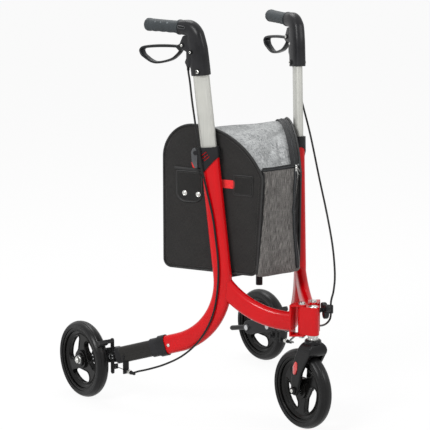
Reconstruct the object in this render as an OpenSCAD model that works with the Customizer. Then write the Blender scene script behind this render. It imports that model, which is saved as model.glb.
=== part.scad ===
// Three wheel rollator. Front faces -Y, +Z up, the user's right is -X. Sizes in mm.

/* [Wheels] */
// Outer radius of the tyres
tyre_r = 100; // [95:1:105]
// Width of the tyres
tyre_w = 32; // [28:1:33]
// Radius of the tread's crown across the tyre
tread_r = 22; // [20:1:26]
// Height of the tyre over the rim
tyre_h = 16; // [13:1:18]
// Height of the rim's band
band_h = 18; // [16:1:20]
// Width of the rim's band
band_w = 26; // [22:1:27]
// Depth of each step down the rim's band
band_step = 4; // [2:0.5:5]
// Thickness of the wheel's disc
disc_t = 12; // [8:1:16]
// Radius of the hub
hub_r = 24; // [20:1:25]
// Width of the hub
hub_w = 32; // [28:1:32]
// Radius of the hub's raised nose
nose_r = 17; // [15:1:18]
// Depth of the recess round the hub's nose
nose_step = 4; // [2:0.5:6]
// Outer radius of the ball bearings
bearing_r = 11; // [10:0.5:12]
// Width of the ball bearings
bearing_w = 7; // [6:0.5:8]
// Radius of the axle bolts
axle_r = 4; // [3:0.5:5]

/* [Caster] */
// Distance from the stem back to the front axle
trail = 38; // [35:1:42]
// Gap between the tyre and the fork's crown
crown_clear = 7; // [5:1:10]
// Height of the fork's crown above that gap
crown_h = 25; // [22:1:30]
// Radius of the crown seen from the side
crown_r = 22.5; // [21:0.5:24]
// Half width of the fork
fork_half = 28.5; // [27:0.5:32]
// Gap between the tyre and each leg
fork_gap = 3.5; // [3:0.5:5]
// Distance of the fork's knee behind the stem
knee_y = 28; // [25:1:30]
// Height of the fork's knee above the axle
knee_h = 58; // [54:1:62]
// Radius of the fork's knee
knee_r = 19; // [18:1:21]
// Radius of the fork's foot round the axle
foot_r = 13; // [12:0.5:15]
// Length of the reflectors
reflector_l = 33; // [28:1:36]
// Width of the reflectors
reflector_w = 16; // [12:1:18]
// Distance of the reflectors behind the stem
reflector_y = 33; // [32:0.5:34]
// Thickness of the reflectors
reflector_t = 2.5; // [2:0.5:4]
// Depth of the reflectors in the leg
reflector_in = 1.5; // [1:0.25:1.75]
// Radius of the stem
stem_r = 6; // [5:0.5:7]
// Depth of the stem in the crown
stem_in = 18; // [14:1:20]
// Radius of the spacer under the post
spacer_r = 12; // [10:0.5:13]
// Height of the spacer under the post
spacer_h = 13.5; // [11:0.5:16]

/* [Head] */
// Height of the post
post_h = 70; // [66:1:76]
// Radius of the post round the stem
post_r = 15; // [14.5:0.5:17]
// Radius of the post's bore
post_bore_r = 12; // [11:0.25:12.5]
// Height of the stem bearings
stem_bearing_h = 9; // [7:1:12]
// Depth of the recess over the upper bearing
post_recess = 5; // [4:0.5:8]
// Radius of the hinge lugs
lug_r = 9; // [8:0.5:10]
// Half distance between the hinge bolts
hinge_half = 18; // [17:0.5:20]
// Distance of the hinge bolts behind the stem
hinge_back = 22; // [20:1:24]
// Radius of the hinge bolts
hinge_r = 4; // [3:0.5:5]
// Thickness of the hinge bolts' heads
hinge_head_h = 4.5; // [3.5:0.5:7]
// Reach of the cable eye from the stem
eye_reach = 46; // [44:0.5:48]
// Height of the cable eye's middle above the post's foot
eye_h = 60; // [57:0.5:62]

/* [Side frame] */
// Angle between each side frame and straight ahead
splay = 28; // [27:0.25:29]
// Distance of the tubes outside the hinge bolts
frame_out = 6; // [5:0.5:8]
// Long width of the oval tube
tube_w = 48; // [46:0.5:50]
// Short width of the oval tube
tube_t = 27; // [26.5:0.25:28]
// Wall of the oval tube
tube_wall = 2.4; // [2:0.1:2.5]
// Rise from the front arm to the top of the main tube
mast_rise = 411.5; // [405:1:420]
// Distance of the main tube's top behind the hinge
mast_u = 248; // [244:1:252]
// Lean of the main tube
lean = 6.7; // [6:0.1:7.5]
// Fall from the front arm to the bend's corner
corner_fall = 45; // [41:1:48]
// Radius of the main tube's bend
bend_r = 176; // [170:1:182]
// Slope of the rear leg
leg_drop = 17.9; // [17:0.1:19]
// Length of the main tube behind its bend
red_len = 43; // [40:1:48]
// Short width of the front arm
arm_t = 25; // [24:0.25:26]
// Distance of the front arm's bend behind the hinge
arm_start = 40; // [36:1:44]
// Radius of the front arm's bend
arm_bend_r = 226; // [220:1:234]
// Drop of the front arm below the middle of the post
arm_drop = 5; // [3:0.5:7]
// Distance of the bracket's web behind the hinge
web_u = 24; // [23:0.5:28]
// Thickness of the bracket
bracket_t = 4; // [3:0.25:5]
// Half width of the bracket
bracket_half = 15; // [13:0.5:16]
// Radius of the bracket's flanges round the bolt
flange_r = 11; // [10:0.5:12]
// Length of the leg tube behind the bend
leg_len = 172; // [167:1:177]
// Depth of the leg tube in the main tube
leg_in = 36; // [30:1:38]
// Reach of the sleeve behind the main tube
sleeve_back = 36; // [30:1:40]
// Reach of the sleeve over the main tube
sleeve_over = 8; // [6:1:12]
// Wall of the collar and the sleeve
sleeve_wall = 3; // [2:0.1:3.4]

/* [Rear wheels and brakes] */
// Distance from the leg's end back to the tyre's front
arm_lead = 25; // [22:1:30]
// Distance of the wheels outside the leg's end
wheel_out = 37; // [36:0.5:40]
// Distance of the wheel arm inside the leg's end
plate_in = 6; // [5:0.5:7]
// Thickness of the wheel arm
plate_t = 18; // [16:0.5:19]
// Length of the wheel arm's cap on the leg
cap_l = 16; // [14:1:18]
// Radius of the wheel arm at its front
plate_front_r = 20; // [19:0.5:21]
// Radius of the wheel arm at the axle
plate_rear_r = 19; // [17:0.5:20]
// Reach of the tip peg behind the axle
peg_reach = 92; // [84:1:96]
// Radius of the tip peg
peg_r = 7; // [6:0.25:7.5]
// Slope of the tip peg
peg_drop = 14; // [10:0.5:16]
// Distance of the brake's pivot inside the tyre's radius
pivot_in = 9; // [7:0.5:10]
// Depth of the brake's pivot below the leg's end
pivot_low = 11; // [9:0.5:13]
// Gap between the brake shoe and the tyre
shoe_gap = 3; // [2.8:0.1:4]
// Thickness of the brake shoe
shoe_t = 10; // [8:0.5:12]
// Width of the brake shoe
shoe_w = 26; // [22:1:28]
// Thickness of the brake's strip and strap
strip_t = 4; // [3:0.25:4.5]
// Width of the brake's strip
strip_w = 12; // [11:0.5:13]

/* [Handles] */
// Long width of the silver tube
inner_w = 42.2; // [41.2:0.1:42.2]
// Short width of the silver tube
inner_t = 21.2; // [20.2:0.1:21.2]
// Wall of the silver tube
inner_wall = 1.8; // [1.5:0.1:2.2]
// Depth of the silver tube in the main tube
inner_in = 165; // [150:1:175]
// Height of the housing's foot over the main tube
handle_foot = 179; // [174:1:184]
// Depth of the silver tube in the housing
socket_in = 50; // [44:1:54]
// Height of the grips over the main tube's top, along it
handle_up = 292.5; // [288:1:300]
// Turn of the grips towards straight ahead
grip_turn = 15; // [12:0.5:18]
// Long width of the housing's socket
socket_w = 50; // [49:0.5:53]
// Short width of the housing's socket
socket_t = 32; // [31:0.5:35]
// Radius of the elbow's bend
elbow_r = 26; // [24:0.5:29]
// Long width of the elbow
elbow_w = 40; // [38:0.5:42]
// Short width of the elbow
elbow_t = 33; // [32:0.5:34.5]
// Distance of the grip's ring behind the silver tube
ring_q = 48; // [46:0.5:51]
// Length of the grip
grip_l = 115; // [108:1:122]
// Diameter of the grip
grip_d = 31; // [29:0.5:33]
// Diameter of the grip's ring
ring_d = 35; // [34:0.5:37]
// Length of the grip's ring
ring_l = 7; // [5:0.5:10]
// Radius of the bar inside the grip
spigot_r = 11; // [10:0.5:12]
// Distance of the lever's pivot behind the silver tube
lever_q = 36; // [35:0.5:38]
// Drop of the lever's pivot below the grip
lever_drop = 42.5; // [41:0.5:44]
// Thickness of the brake lever
lever_t = 14; // [12:0.5:15]
// Half thickness of the lever's loop in its plane
loop_r = 3.2; // [2.8:0.1:4]
// Width of the height lock lever
lock_w = 16; // [14:0.5:17]
// Length of the height lock lever
lock_l = 38; // [34:1:42]

/* [Bag and brace] */
// Height of the bag's foot over the front arm
bag_lift = 99.5; // [97:0.5:104]
// Height of the bag
bag_h = 361; // [350:1:368]
// Distance of the bag's front edge behind the hinge
bag_front = 117; // [114:1:122]
// Distance of the bag's rear edge behind the hinge
bag_rear = 382; // [376:1:388]
// Distance of the lid's front curve behind the hinge
bag_crown_u = 288; // [284:1:292]
// Radius of the lid's front curve
bag_front_r = 184; // [178:1:190]
// Radius of the lid's rear curve
bag_rear_r = 83; // [78:1:88]
// Radius of the bag's lower corners
bag_corner_r = 19; // [15:1:24]
// Thickness of the side panels
panel_t = 5; // [4:0.5:6]
// Depth of the front pocket
pocket_d = 20; // [16:1:24]
// Height of the front pocket
pocket_h = 248; // [240:1:256]
// Bulge of the pocket's front
pocket_bulge = 6; // [4:0.5:8]
// Height of the brace over the front arm
brace_up = 86.5; // [82:0.5:88]
// Thickness of the brace links
link_t = 4; // [3:0.25:4.5]
// Half width of the brace links
link_r = 8; // [7:0.5:9]
// Distance of the brace's rivets inside the main tube
brace_in = 11; // [10:0.5:12]
// Radius of the hub peg
hub_peg_r = 8.5; // [7.5:0.25:9]
// Length of the hub peg
hub_peg_l = 29; // [25:1:32]

/* [Hidden] */
$fa = 6;
$fs = 1;

// Overrun of cuts, running fit of pins, gap between faces that move past each other
over = 1;
fit = 0.05;
gap = 0.3;
near = 0.5;

// Colours
red = [0.75, 0.04, 0.05];
silver = [0.76, 0.77, 0.78];
black = [0.06, 0.06, 0.07];
steel = [0.55, 0.56, 0.58];
rubber = [0.2, 0.2, 0.21];
grey = [0.45, 0.45, 0.47];
dark_grey = [0.22, 0.22, 0.24];

// Small fixed sizes: heads, washers and edges
bolt_head_h = 6;
bolt_head_r = 7.5;
washer_r = 6.5;
pin_r = 3;
pin_head_r = 6;
pin_head_h = 4;
edge = 2;
hub_bore_r = 6;

// Wheel radii
rim_r = tyre_r - tyre_h;
band_r = rim_r - band_h;

// Heights
crown_top = 2 * tyre_r + crown_clear + crown_h;
post_z = crown_top + spacer_h;
post_top = post_z + post_h;
arm_h = post_z + post_h / 2 - arm_drop;
mast_top = arm_h + mast_rise;
corner_w = arm_h - corner_fall;

// Side frame: corner and tangent points of the bend, and the end of the rear leg
corner_u = mast_u - (mast_top - corner_w) * tan(lean);
turn = 90 + lean - leg_drop;
tangent = bend_r * tan(turn / 2);
straight_len = (mast_top - corner_w) / cos(lean) - tangent;
bend_u = corner_u + tangent * sin(lean) + bend_r * cos(lean);
bend_w = corner_w + tangent * cos(lean) - bend_r * sin(lean);
leg_u = corner_u + tangent * cos(leg_drop);
leg_w = corner_w - tangent * sin(leg_drop);
end_u = leg_u + leg_len * cos(leg_drop);
end_w = leg_w - leg_len * sin(leg_drop);
arm_reach = tyre_r + arm_lead;
pivot_ahead = tyre_r - pivot_in;
pivot_z = end_w - pivot_low;

// The front arm's curve ends on the main tube's middle line
meet_u = mast_u - mast_rise * tan(lean);
arm_turn = asin(cos(lean) * ((meet_u - arm_start) / arm_bend_r + tan(lean))) - lean;

// Plan: the origin lies midway between the front and rear axles
axle_back = hinge_back + end_u * cos(splay) - frame_out * sin(splay) + arm_reach;
stem_y = -(axle_back + trail) / 2;
hinge_y = stem_y + hinge_back;
front_y = stem_y + trail;
rear_y = stem_y + axle_back;
end_x = -hinge_half - end_u * sin(splay) - frame_out * cos(splay);
end_y = rear_y - arm_reach;
wheel_x = end_x - wheel_out;
plate_x = end_x + plate_in;
plate_out_x = plate_x - plate_t / 2;

// Plan point of a place on the right side frame, outside its hinge by v
function frame_xy(u, v) = [-hinge_half - u * sin(splay) - v * cos(splay),
  hinge_y + u * cos(splay) - v * sin(splay)];

// The same the other way round, for a point at a height z
function frame_uv(x, y, z) = [-(x + hinge_half) * sin(splay) + (y - hinge_y) * cos(splay),
  -(x + hinge_half) * cos(splay) - (y - hinge_y) * sin(splay), z];

// Basic outlines
module oval(w, t) {
  square([w - t, t], center = true);
  for (s = [-1, 1]) translate([s * (w - t) / 2, 0]) circle(d = t);
}

function polar(r, a) = [r * cos(a), r * sin(a)];

// Angle of a length laid along a circle
function arc_angle(l, r) = l / r * 180 / PI;

// Two circles and a web between them, just inside their outer tangents
web_share = 0.985;

module link2d(a, ra, b, rb) {
  d = norm(b - a);
  way = atan2(b[1] - a[1], b[0] - a[0]);
  open = acos((ra - rb) / d);
  qa = ra * web_share;
  qb = rb * web_share;
  translate(a) circle(r = ra);
  translate(b) circle(r = rb);
  polygon([a + polar(qa, way + open), a + polar(qa, way - open),
    b + polar(qb, way - open), b + polar(qb, way + open)]);
}

// A bar along Y, from y0 to y1
module bar_y(r, y0, y1) {
  translate([0, y0, 0]) rotate([-90, 0, 0]) cylinder(r = r, h = y1 - y0);
}

// A bar along X, from x0 to x1
module bar_x(r, x0, x1) {
  translate([x0, 0, 0]) rotate([0, 90, 0]) cylinder(r = r, h = x1 - x0);
}

// An outline drawn in Y and Z, as a plate from x0 to x1
module plate_yz(x0, x1) {
  translate([x0, 0, 0]) rotate([90, 0, 90]) linear_extrude(height = x1 - x0) children();
}

// An outline drawn in X and Z, as a plate centred on Y
module plate_xz(t) {
  rotate([90, 0, 0]) linear_extrude(height = t, center = true) children();
}

// Places: the right side's tube plane, main tube's top, rear leg, grip, and the left side by mirroring
module side(s) {
  if (s > 0) children();
  else mirror([1, 0, 0]) children();
}

module on_hinge() {
  translate([-hinge_half, hinge_y, 0]) rotate([0, 0, 90 + splay]) children();
}

module on_frame() {
  on_hinge() translate([0, frame_out, 0]) children();
}

module on_mast() {
  on_frame() translate([mast_u, 0, mast_top]) rotate([0, lean, 0]) children();
}

module on_leg() {
  on_frame() translate([leg_u, 0, leg_w]) rotate([0, 90 + leg_drop, 0]) children();
}

module on_grip() {
  on_mast() translate([0, 0, handle_up]) rotate([0, -lean, 0]) rotate([0, 0, -grip_turn]) children();
}

// Wheel: tyre, rim with three swirled openings, and two bearings. The axle lies along X
swirl_angle_shares = [-24, 12, 38];
swirl_place_shares = [0.57, 0.565, 0.68];
swirl_radius_shares = [0.2, 0.245, 0.13];

module wheel_tyre() {
  rotate([0, 90, 0]) rotate_extrude() intersection() {
    translate([rim_r, -tyre_w / 2]) square([tyre_r - rim_r, tyre_w]);
    translate([tyre_r - tread_r, 0]) circle(r = tread_r);
  }
}

function swirl_point(i) = polar(swirl_place_shares[i] * rim_r, swirl_angle_shares[i]);

module swirl() {
  for (i = [0, 1])
    link2d(swirl_point(i), swirl_radius_shares[i] * rim_r,
      swirl_point(i + 1), swirl_radius_shares[i + 1] * rim_r);
}

module rim_band() {
  step = (rim_r - band_r) / 3;
  polygon([[band_r - edge, -disc_t / 2], [band_r - edge, disc_t / 2], [band_r, band_w / 2 - 2 * band_step],
    [band_r + step, band_w / 2 - band_step], [band_r + 2 * step, band_w / 2 - band_step],
    [band_r + 2 * step, band_w / 2], [rim_r, band_w / 2], [rim_r, -band_w / 2],
    [band_r + 2 * step, -band_w / 2], [band_r + 2 * step, -band_w / 2 + band_step],
    [band_r + step, -band_w / 2 + band_step], [band_r, -band_w / 2 + 2 * band_step]]);
}

module wheel_rim() {
  rotate([0, 90, 0]) difference() {
    union() {
      rotate_extrude() rim_band();
      linear_extrude(height = disc_t, center = true) difference() {
        circle(r = band_r);
        for (a = [0, 120, 240]) rotate(a) swirl();
      }
      cylinder(r = hub_r, h = hub_w - 2 * nose_step, center = true);
      cylinder(r = nose_r, h = hub_w, center = true);
    }
    cylinder(r = hub_bore_r, h = hub_w + 2 * over, center = true);
    for (s = [-1, 1]) translate([0, 0, s * (hub_w + over - bearing_w) / 2])
      cylinder(r = bearing_r, h = bearing_w + over, center = true);
  }
}

module wheel_bearings() {
  rotate([0, 90, 0]) for (s = [-1, 1]) translate([0, 0, s * (hub_w - bearing_w) / 2]) difference() {
    cylinder(r = bearing_r, h = bearing_w, center = true);
    cylinder(r = axle_r + fit, h = bearing_w + 2 * over, center = true);
  }
}

module at_front_wheel() {
  translate([0, front_y, tyre_r]) children();
}

module at_rear_wheel() {
  translate([wheel_x, rear_y, tyre_r]) children();
}

module front_tyre() {
  color(rubber) at_front_wheel() wheel_tyre();
}

// The front rim stands turned against the rear ones
front_turn = -64;

module front_rim() {
  color(black) at_front_wheel() rotate([front_turn, 0, 0]) wheel_rim();
}

module front_bearings() {
  color(steel) at_front_wheel() wheel_bearings();
}

// Head post: stem tube and two hinge lugs in one outline
module post_outline() {
  for (s = [-1, 1]) link2d([0, 0], post_r, [s * hinge_half, hinge_back], lug_r);
}

module head_post() {
  color(red) translate([0, stem_y, post_z]) difference() {
    linear_extrude(height = post_h) post_outline();
    translate([0, 0, -over]) cylinder(r = post_bore_r, h = post_h + 2 * over);
    for (s = [-1, 1]) translate([s * hinge_half, hinge_back, -over])
      cylinder(r = hinge_r, h = post_h + 2 * over);
  }
}

module stem_bearing() {
  difference() {
    cylinder(r = post_bore_r, h = stem_bearing_h);
    translate([0, 0, -over]) cylinder(r = stem_r + fit, h = stem_bearing_h + 2 * over);
  }
}

module stem_bearings() {
  color(steel) translate([0, stem_y, 0]) {
    translate([0, 0, post_z]) stem_bearing();
    translate([0, 0, post_top - post_recess - stem_bearing_h]) stem_bearing();
  }
}

module hinge_bolts() {
  low = post_z - near - bracket_t - gap;
  high = post_top + near + bracket_t + gap;
  color(steel) for (s = [-1, 1]) translate([s * hinge_half, hinge_y, 0]) {
    translate([0, 0, low]) cylinder(r = hinge_r, h = high - low);
    translate([0, 0, high]) cylinder(r = bolt_head_r, h = hinge_head_h);
    translate([0, 0, low - hinge_head_h]) cylinder(r = bolt_head_r, h = hinge_head_h, $fn = 6);
  }
}

// Cable guide: foot screwed to the post, three-lobed knob, arm and eye
guide_way = -17;
eye_r = 6;
eye_hole_r = 3.5;
eye_l = 10;
knob_r = 6;
knob_place = 7;
knob_l = 9;
guide_t = 5;
eye_z = post_z + eye_h;

module cable_guide() {
  color(black) translate([0, stem_y, eye_z]) difference() {
    rotate([0, 0, guide_way]) {
      bar_x(knob_r, 0, eye_reach - eye_r);
      translate([post_r + edge, 0, 0]) rotate([0, 90, 0]) linear_extrude(height = knob_l)
        for (a = [0, 120, 240]) rotate(a) translate([knob_place, 0]) circle(r = knob_r);
      translate([eye_reach, 0, -eye_l]) cylinder(r = eye_r, h = 2 * eye_l);
      translate([eye_reach - 2 * eye_r, -guide_t / 2, -eye_l]) cube([2 * eye_r, guide_t, eye_l]);
    }
    rotate([0, 0, guide_way]) translate([eye_reach, 0, -eye_l - over])
      cylinder(r = eye_hole_r, h = 2 * (eye_l + over));
    translate([0, 0, -post_h]) linear_extrude(height = 2 * post_h) post_outline();
  }
}

// Caster: fork, stem, reflectors, axle
module at_stem() {
  translate([0, stem_y, 0]) children();
}

module fork_side() {
  link2d([0, crown_top - crown_r], crown_r, [knee_y, tyre_r + knee_h], knee_r);
  link2d([knee_y, tyre_r + knee_h], knee_r, [trail, tyre_r], foot_r);
}

module fork_front() {
  translate([0, crown_top - fork_half]) circle(r = fork_half);
  translate([-fork_half, 0]) square([2 * fork_half, crown_top - fork_half]);
}

module reflector() {
  translate([0, reflector_y, tyre_r + knee_h]) rotate([0, 90, 0])
    linear_extrude(height = reflector_t) oval(reflector_l, reflector_w);
}

module caster_fork() {
  color(black) at_stem() difference() {
    intersection() {
      plate_yz(-fork_half - over, fork_half + over) fork_side();
      translate([0, crown_r + trail + knee_r, 0]) rotate([90, 0, 0])
        linear_extrude(height = 2 * (crown_r + trail + knee_r)) fork_front();
    }
    translate([0, trail, tyre_r]) bar_x(tyre_r + crown_clear, -tyre_w / 2 - fork_gap, tyre_w / 2 + fork_gap);
    translate([0, trail, tyre_r]) bar_x(axle_r, -fork_half - over, fork_half + over);
    translate([0, 0, crown_top - stem_in]) cylinder(r = stem_r, h = stem_in + over);
    for (s = [0, 1]) mirror([s, 0, 0]) translate([fork_half - reflector_in, 0, 0]) reflector();
  }
}

module fork_reflectors() {
  color(red) at_stem() for (s = [0, 1]) mirror([s, 0, 0])
    translate([fork_half - reflector_in, 0, 0]) reflector();
}

module caster_stem() {
  nut_z = post_top - post_recess + gap;
  color(silver) at_stem() {
    translate([0, 0, crown_top - stem_in]) cylinder(r = stem_r, h = nut_z - crown_top + stem_in);
    translate([0, 0, crown_top]) cylinder(r = spacer_r, h = spacer_h - gap);
    translate([0, 0, nut_z]) cylinder(r = bolt_head_r, h = post_recess);
  }
}

module front_axle() {
  color(steel) at_front_wheel() for (s = [0, 1]) mirror([s, 0, 0]) {
    bar_x(axle_r, 0, fork_half + over);
    bar_x(bolt_head_r, fork_half, fork_half + bolt_head_h);
    bar_x(washer_r, hub_w / 2 + gap, tyre_w / 2 + fork_gap);
  }
}

// Main tube: straight mast, bend and rear stretch of one oval section, with the brace's lug and rivet
// A bend is drawn this much larger all round, so that its ends close over the straight stretches
swell = 0.1;

module main_path(w, t, more) {
  on_mast() translate([0, 0, -straight_len - over])
    linear_extrude(height = straight_len + over + more) oval(w, t);
  on_frame() translate([bend_u, 0, bend_w]) rotate([90, 0, 0]) rotate([0, 0, 180 - lean])
    rotate_extrude(angle = turn) translate([bend_r, 0]) oval(w + 2 * swell, t + 2 * swell);
  on_leg() translate([0, 0, -over]) linear_extrude(height = red_len + over + more) oval(w, t);
}

brace_z = arm_h + brace_up;
brace_u = mast_u - (mast_top - brace_z) * tan(lean);
brace_v = tube_t / 2 + brace_in;
brace_xy = frame_xy(brace_u, frame_out - brace_v);
lug_z = brace_z + link_t + near;

module brace_rivet(s) {
  link_z = s > 0 ? brace_z : brace_z - link_t - near;
  on_frame() translate([brace_u, 0, 0]) {
    translate([0, 0, lug_z]) linear_extrude(height = bracket_t)
      link2d([0, -link_r], link_r, [0, -brace_v], link_r);
    translate([0, -brace_v, link_z - near]) cylinder(r = pin_r, h = lug_z - link_z + 2 * near);
    translate([0, -brace_v, link_z - near - pin_head_h]) cylinder(r = pin_head_r, h = pin_head_h);
    translate([0, -brace_v, link_z + link_t + gap]) cylinder(r = pin_head_r, h = lug_z - link_z - link_t);
  }
}

module main_tube(s) {
  color(red) side(s) difference() {
    union() {
      main_path(tube_w, tube_t, 0);
      brace_rivet(s);
    }
    main_path(tube_w - 2 * tube_wall, tube_t - 2 * tube_wall, over);
  }
}

// Front arm: curved oval tube coped to the main tube, with the C-shaped hinge bracket
module arm_path(w, t) {
  on_frame() translate([web_u - bracket_t, 0, arm_h]) rotate([0, 90, 0])
    linear_extrude(height = arm_start - web_u + bracket_t + over) oval(w, t);
  on_frame() translate([arm_start, 0, arm_h + arm_bend_r]) rotate([90, 0, 0]) rotate([0, 0, -90])
    rotate_extrude(angle = arm_turn) translate([arm_bend_r, 0]) oval(w + 2 * swell, t + 2 * swell);
}

module bracket_flange() {
  intersection() {
    link2d([0, 0], flange_r, [web_u, frame_out], bracket_half);
    translate([-2 * flange_r, -2 * bracket_half]) square([2 * flange_r + web_u, 4 * bracket_half]);
  }
}

module front_arm(s) {
  low = post_z - near - bracket_t;
  high = post_top + near;
  color(red) side(s) difference() {
    union() {
      difference() {
        arm_path(tube_w, arm_t);
        arm_path(tube_w - 2 * tube_wall, arm_t - 2 * tube_wall);
      }
      on_frame() translate([web_u - bracket_t, -bracket_half, low])
        cube([bracket_t, 2 * bracket_half, high + bracket_t - low]);
      on_hinge() for (z = [low, high]) translate([0, 0, z])
        linear_extrude(height = bracket_t) bracket_flange();
    }
    on_hinge() translate([0, 0, low - over])
      cylinder(r = hinge_r + fit, h = high - low + bracket_t + 2 * over);
    main_path(tube_w, tube_t, 0);
  }
}

// Collar: slanted skirt with three diagonal slots, lip round the silver tube, and the height lock's block
collar_w = tube_w + 2 * sleeve_wall;
collar_t = tube_t + 2 * sleeve_wall;
collar_l = 72;
collar_front = 22;
collar_rear = 68;
slot_l = 20;
slot_w = 3.2;
slot_pitch = 7;
slot_drop = 18;
slot_x = 5;
slot_turn = 30;
lock_off = 8;
lock_x = collar_w / 2 + lock_off;
lock_z = -9;
lock_r = 4.5;
lock_tip_r = 3.5;
lock_pin_r = 2.5;
lock_block = 6;
lock_ear_t = 3;

module collar_cut() {
  fall = (collar_rear - collar_front) / collar_w;
  reach = collar_w / 2 + over;
  polygon([[-reach, -collar_front + over * fall], [reach, -collar_rear - over * fall],
    [reach, -collar_l - over], [-reach, -collar_l - over]]);
}

module collar(s) {
  color(black) side(s) on_mast() {
    difference() {
      union() {
        translate([0, 0, -collar_l])
          linear_extrude(height = collar_l + sleeve_wall) oval(collar_w, collar_t);
        translate([collar_w / 2 - 2 * lock_block, -lock_w / 2, lock_z - lock_l])
          cube([2 * lock_block + edge, lock_w, lock_l + lock_r]);
        for (m = [0, 1]) mirror([0, m, 0]) translate([0, lock_w / 2 + gap + lock_ear_t / 2, 0])
          plate_xz(lock_ear_t) link2d([collar_w / 2 - lock_block, lock_z], lock_r, [lock_x, lock_z], lock_r);
      }
      plate_xz(collar_t + 2 * over) collar_cut();
      translate([0, 0, -collar_l - over]) linear_extrude(height = collar_l + over) oval(tube_w, tube_t);
      linear_extrude(height = sleeve_wall + over) oval(inner_w + 2 * near, inner_t + 2 * near);
      for (i = [-1, 0, 1]) translate([slot_x, tube_t / 2 - edge, -slot_drop]) rotate([-90, 0, 0])
        linear_extrude(height = collar_t) rotate(slot_turn) translate([0, i * slot_pitch])
          oval(slot_l, slot_w);
    }
    translate([lock_x, 0, lock_z])
      bar_y(lock_pin_r, -lock_w / 2 - gap - lock_ear_t, lock_w / 2 + gap + lock_ear_t);
  }
}

// Height lock lever with a red button at its tip
lock_tip_off = 3;
lock_tip_x = lock_x + lock_tip_off;

module lock_outline() {
  link2d([lock_x, lock_z], lock_r, [lock_tip_x, lock_z - lock_l], lock_tip_r);
}

module lock_tip() {
  translate([lock_x - 2 * lock_r, lock_z - lock_l - 2 * lock_tip_r])
    square([4 * lock_r, 4 * lock_tip_r]);
}

module height_lever(s) {
  color(black) side(s) on_mast() plate_xz(lock_w) difference() {
    lock_outline();
    lock_tip();
    translate([lock_x, lock_z]) circle(r = lock_pin_r + fit);
  }
}

module height_button(s) {
  color(red) side(s) on_mast() plate_xz(lock_w) intersection() {
    lock_outline();
    lock_tip();
  }
}

// Rear leg: stepped sleeve and leg tube
sleeve_step = 3;

module leg_sleeve(s) {
  first = sleeve_over + sleeve_back / 3;
  color(black) side(s) on_leg() translate([0, 0, red_len - sleeve_over]) difference() {
    union() {
      linear_extrude(height = first) oval(collar_w, collar_t);
      linear_extrude(height = sleeve_over + sleeve_back)
        oval(collar_w - 2 * sleeve_step, collar_t - 2 * sleeve_step);
    }
    translate([0, 0, -over]) linear_extrude(height = sleeve_over + over) oval(tube_w, tube_t);
    translate([0, 0, -over])
      linear_extrude(height = sleeve_over + sleeve_back + 2 * over) oval(inner_w, inner_t);
  }
}

groove_w = 9;
groove_d = 0.8;

module leg_tube(s) {
  start = red_len - leg_in;
  color(black) side(s) on_leg() difference() {
    translate([0, 0, start]) linear_extrude(height = leg_len - start) oval(inner_w, inner_t);
    translate([0, 0, start - over]) linear_extrude(height = leg_len - start + 2 * over)
      oval(inner_w - 2 * inner_wall, inner_t - 2 * inner_wall);
    for (m = [0, 1]) mirror([0, m, 0])
      translate([-groove_w / 2, inner_t / 2 - groove_d, red_len + sleeve_back + edge])
        cube([groove_w, over + groove_d, leg_len]);
  }
}

// Wheel arm: plug and cap on the leg, plate to the axle, tip peg
plug_l = 30;
front_z_drop = 6;
front_y_back = 30;

module arm_outline() {
  link2d([end_y + front_y_back, end_w - front_z_drop], plate_front_r, [rear_y, tyre_r], plate_rear_r);
}

module wheel_arm(s) {
  color(black) side(s) difference() {
    union() {
      on_leg() translate([0, 0, leg_len]) linear_extrude(height = cap_l) oval(inner_w, inner_t);
      on_leg() translate([0, 0, leg_len - plug_l]) linear_extrude(height = plug_l + over)
        oval(inner_w - 2 * inner_wall, inner_t - 2 * inner_wall);
      plate_yz(plate_x - plate_t / 2, plate_x + plate_t / 2) arm_outline();
      translate([plate_x, rear_y, tyre_r]) rotate([-90 - peg_drop, 0, 0]) {
        cylinder(r = peg_r, h = peg_reach - peg_r);
        translate([0, 0, peg_reach - peg_r]) sphere(r = peg_r);
      }
    }
    translate([0, rear_y, tyre_r]) bar_x(axle_r, plate_out_x - over, plate_x + plate_t);
    translate([0, rear_y - pivot_ahead, pivot_z])
      bar_x(axle_r, plate_out_x - over, plate_x + plate_t);
  }
}

// Wheel and brake bolts: axle with spacer and nut, brake pivot with shoulder
strip_out = 2.3;
strip_x = plate_out_x - strip_out - strip_t;
strip_mid = strip_x + strip_t / 2;

module wheel_bolts(s) {
  hub_in = wheel_x + hub_w / 2 + gap;
  hub_out = wheel_x - hub_w / 2 - gap;
  inner = plate_x + plate_t / 2;
  color(steel) side(s) {
    translate([0, rear_y, tyre_r]) {
      bar_x(axle_r, hub_out - bolt_head_h, inner + bolt_head_h);
      bar_x(bolt_head_r, inner, inner + bolt_head_h);
      bar_x(bolt_head_r, hub_out - bolt_head_h, hub_out);
      bar_x(washer_r, hub_in, plate_out_x);
    }
    translate([0, rear_y - pivot_ahead, pivot_z]) {
      bar_x(axle_r, strip_x - gap - pin_head_h, inner + pin_head_h);
      bar_x(bolt_head_r, strip_x - gap - pin_head_h, strip_x - gap);
      bar_x(bolt_head_r, strip_x + strip_t + gap, plate_out_x);
      bar_x(bolt_head_r, inner, inner + pin_head_h);
    }
  }
}

module at_side_rear_wheel(s) {
  side(s) at_rear_wheel() children();
}

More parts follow.
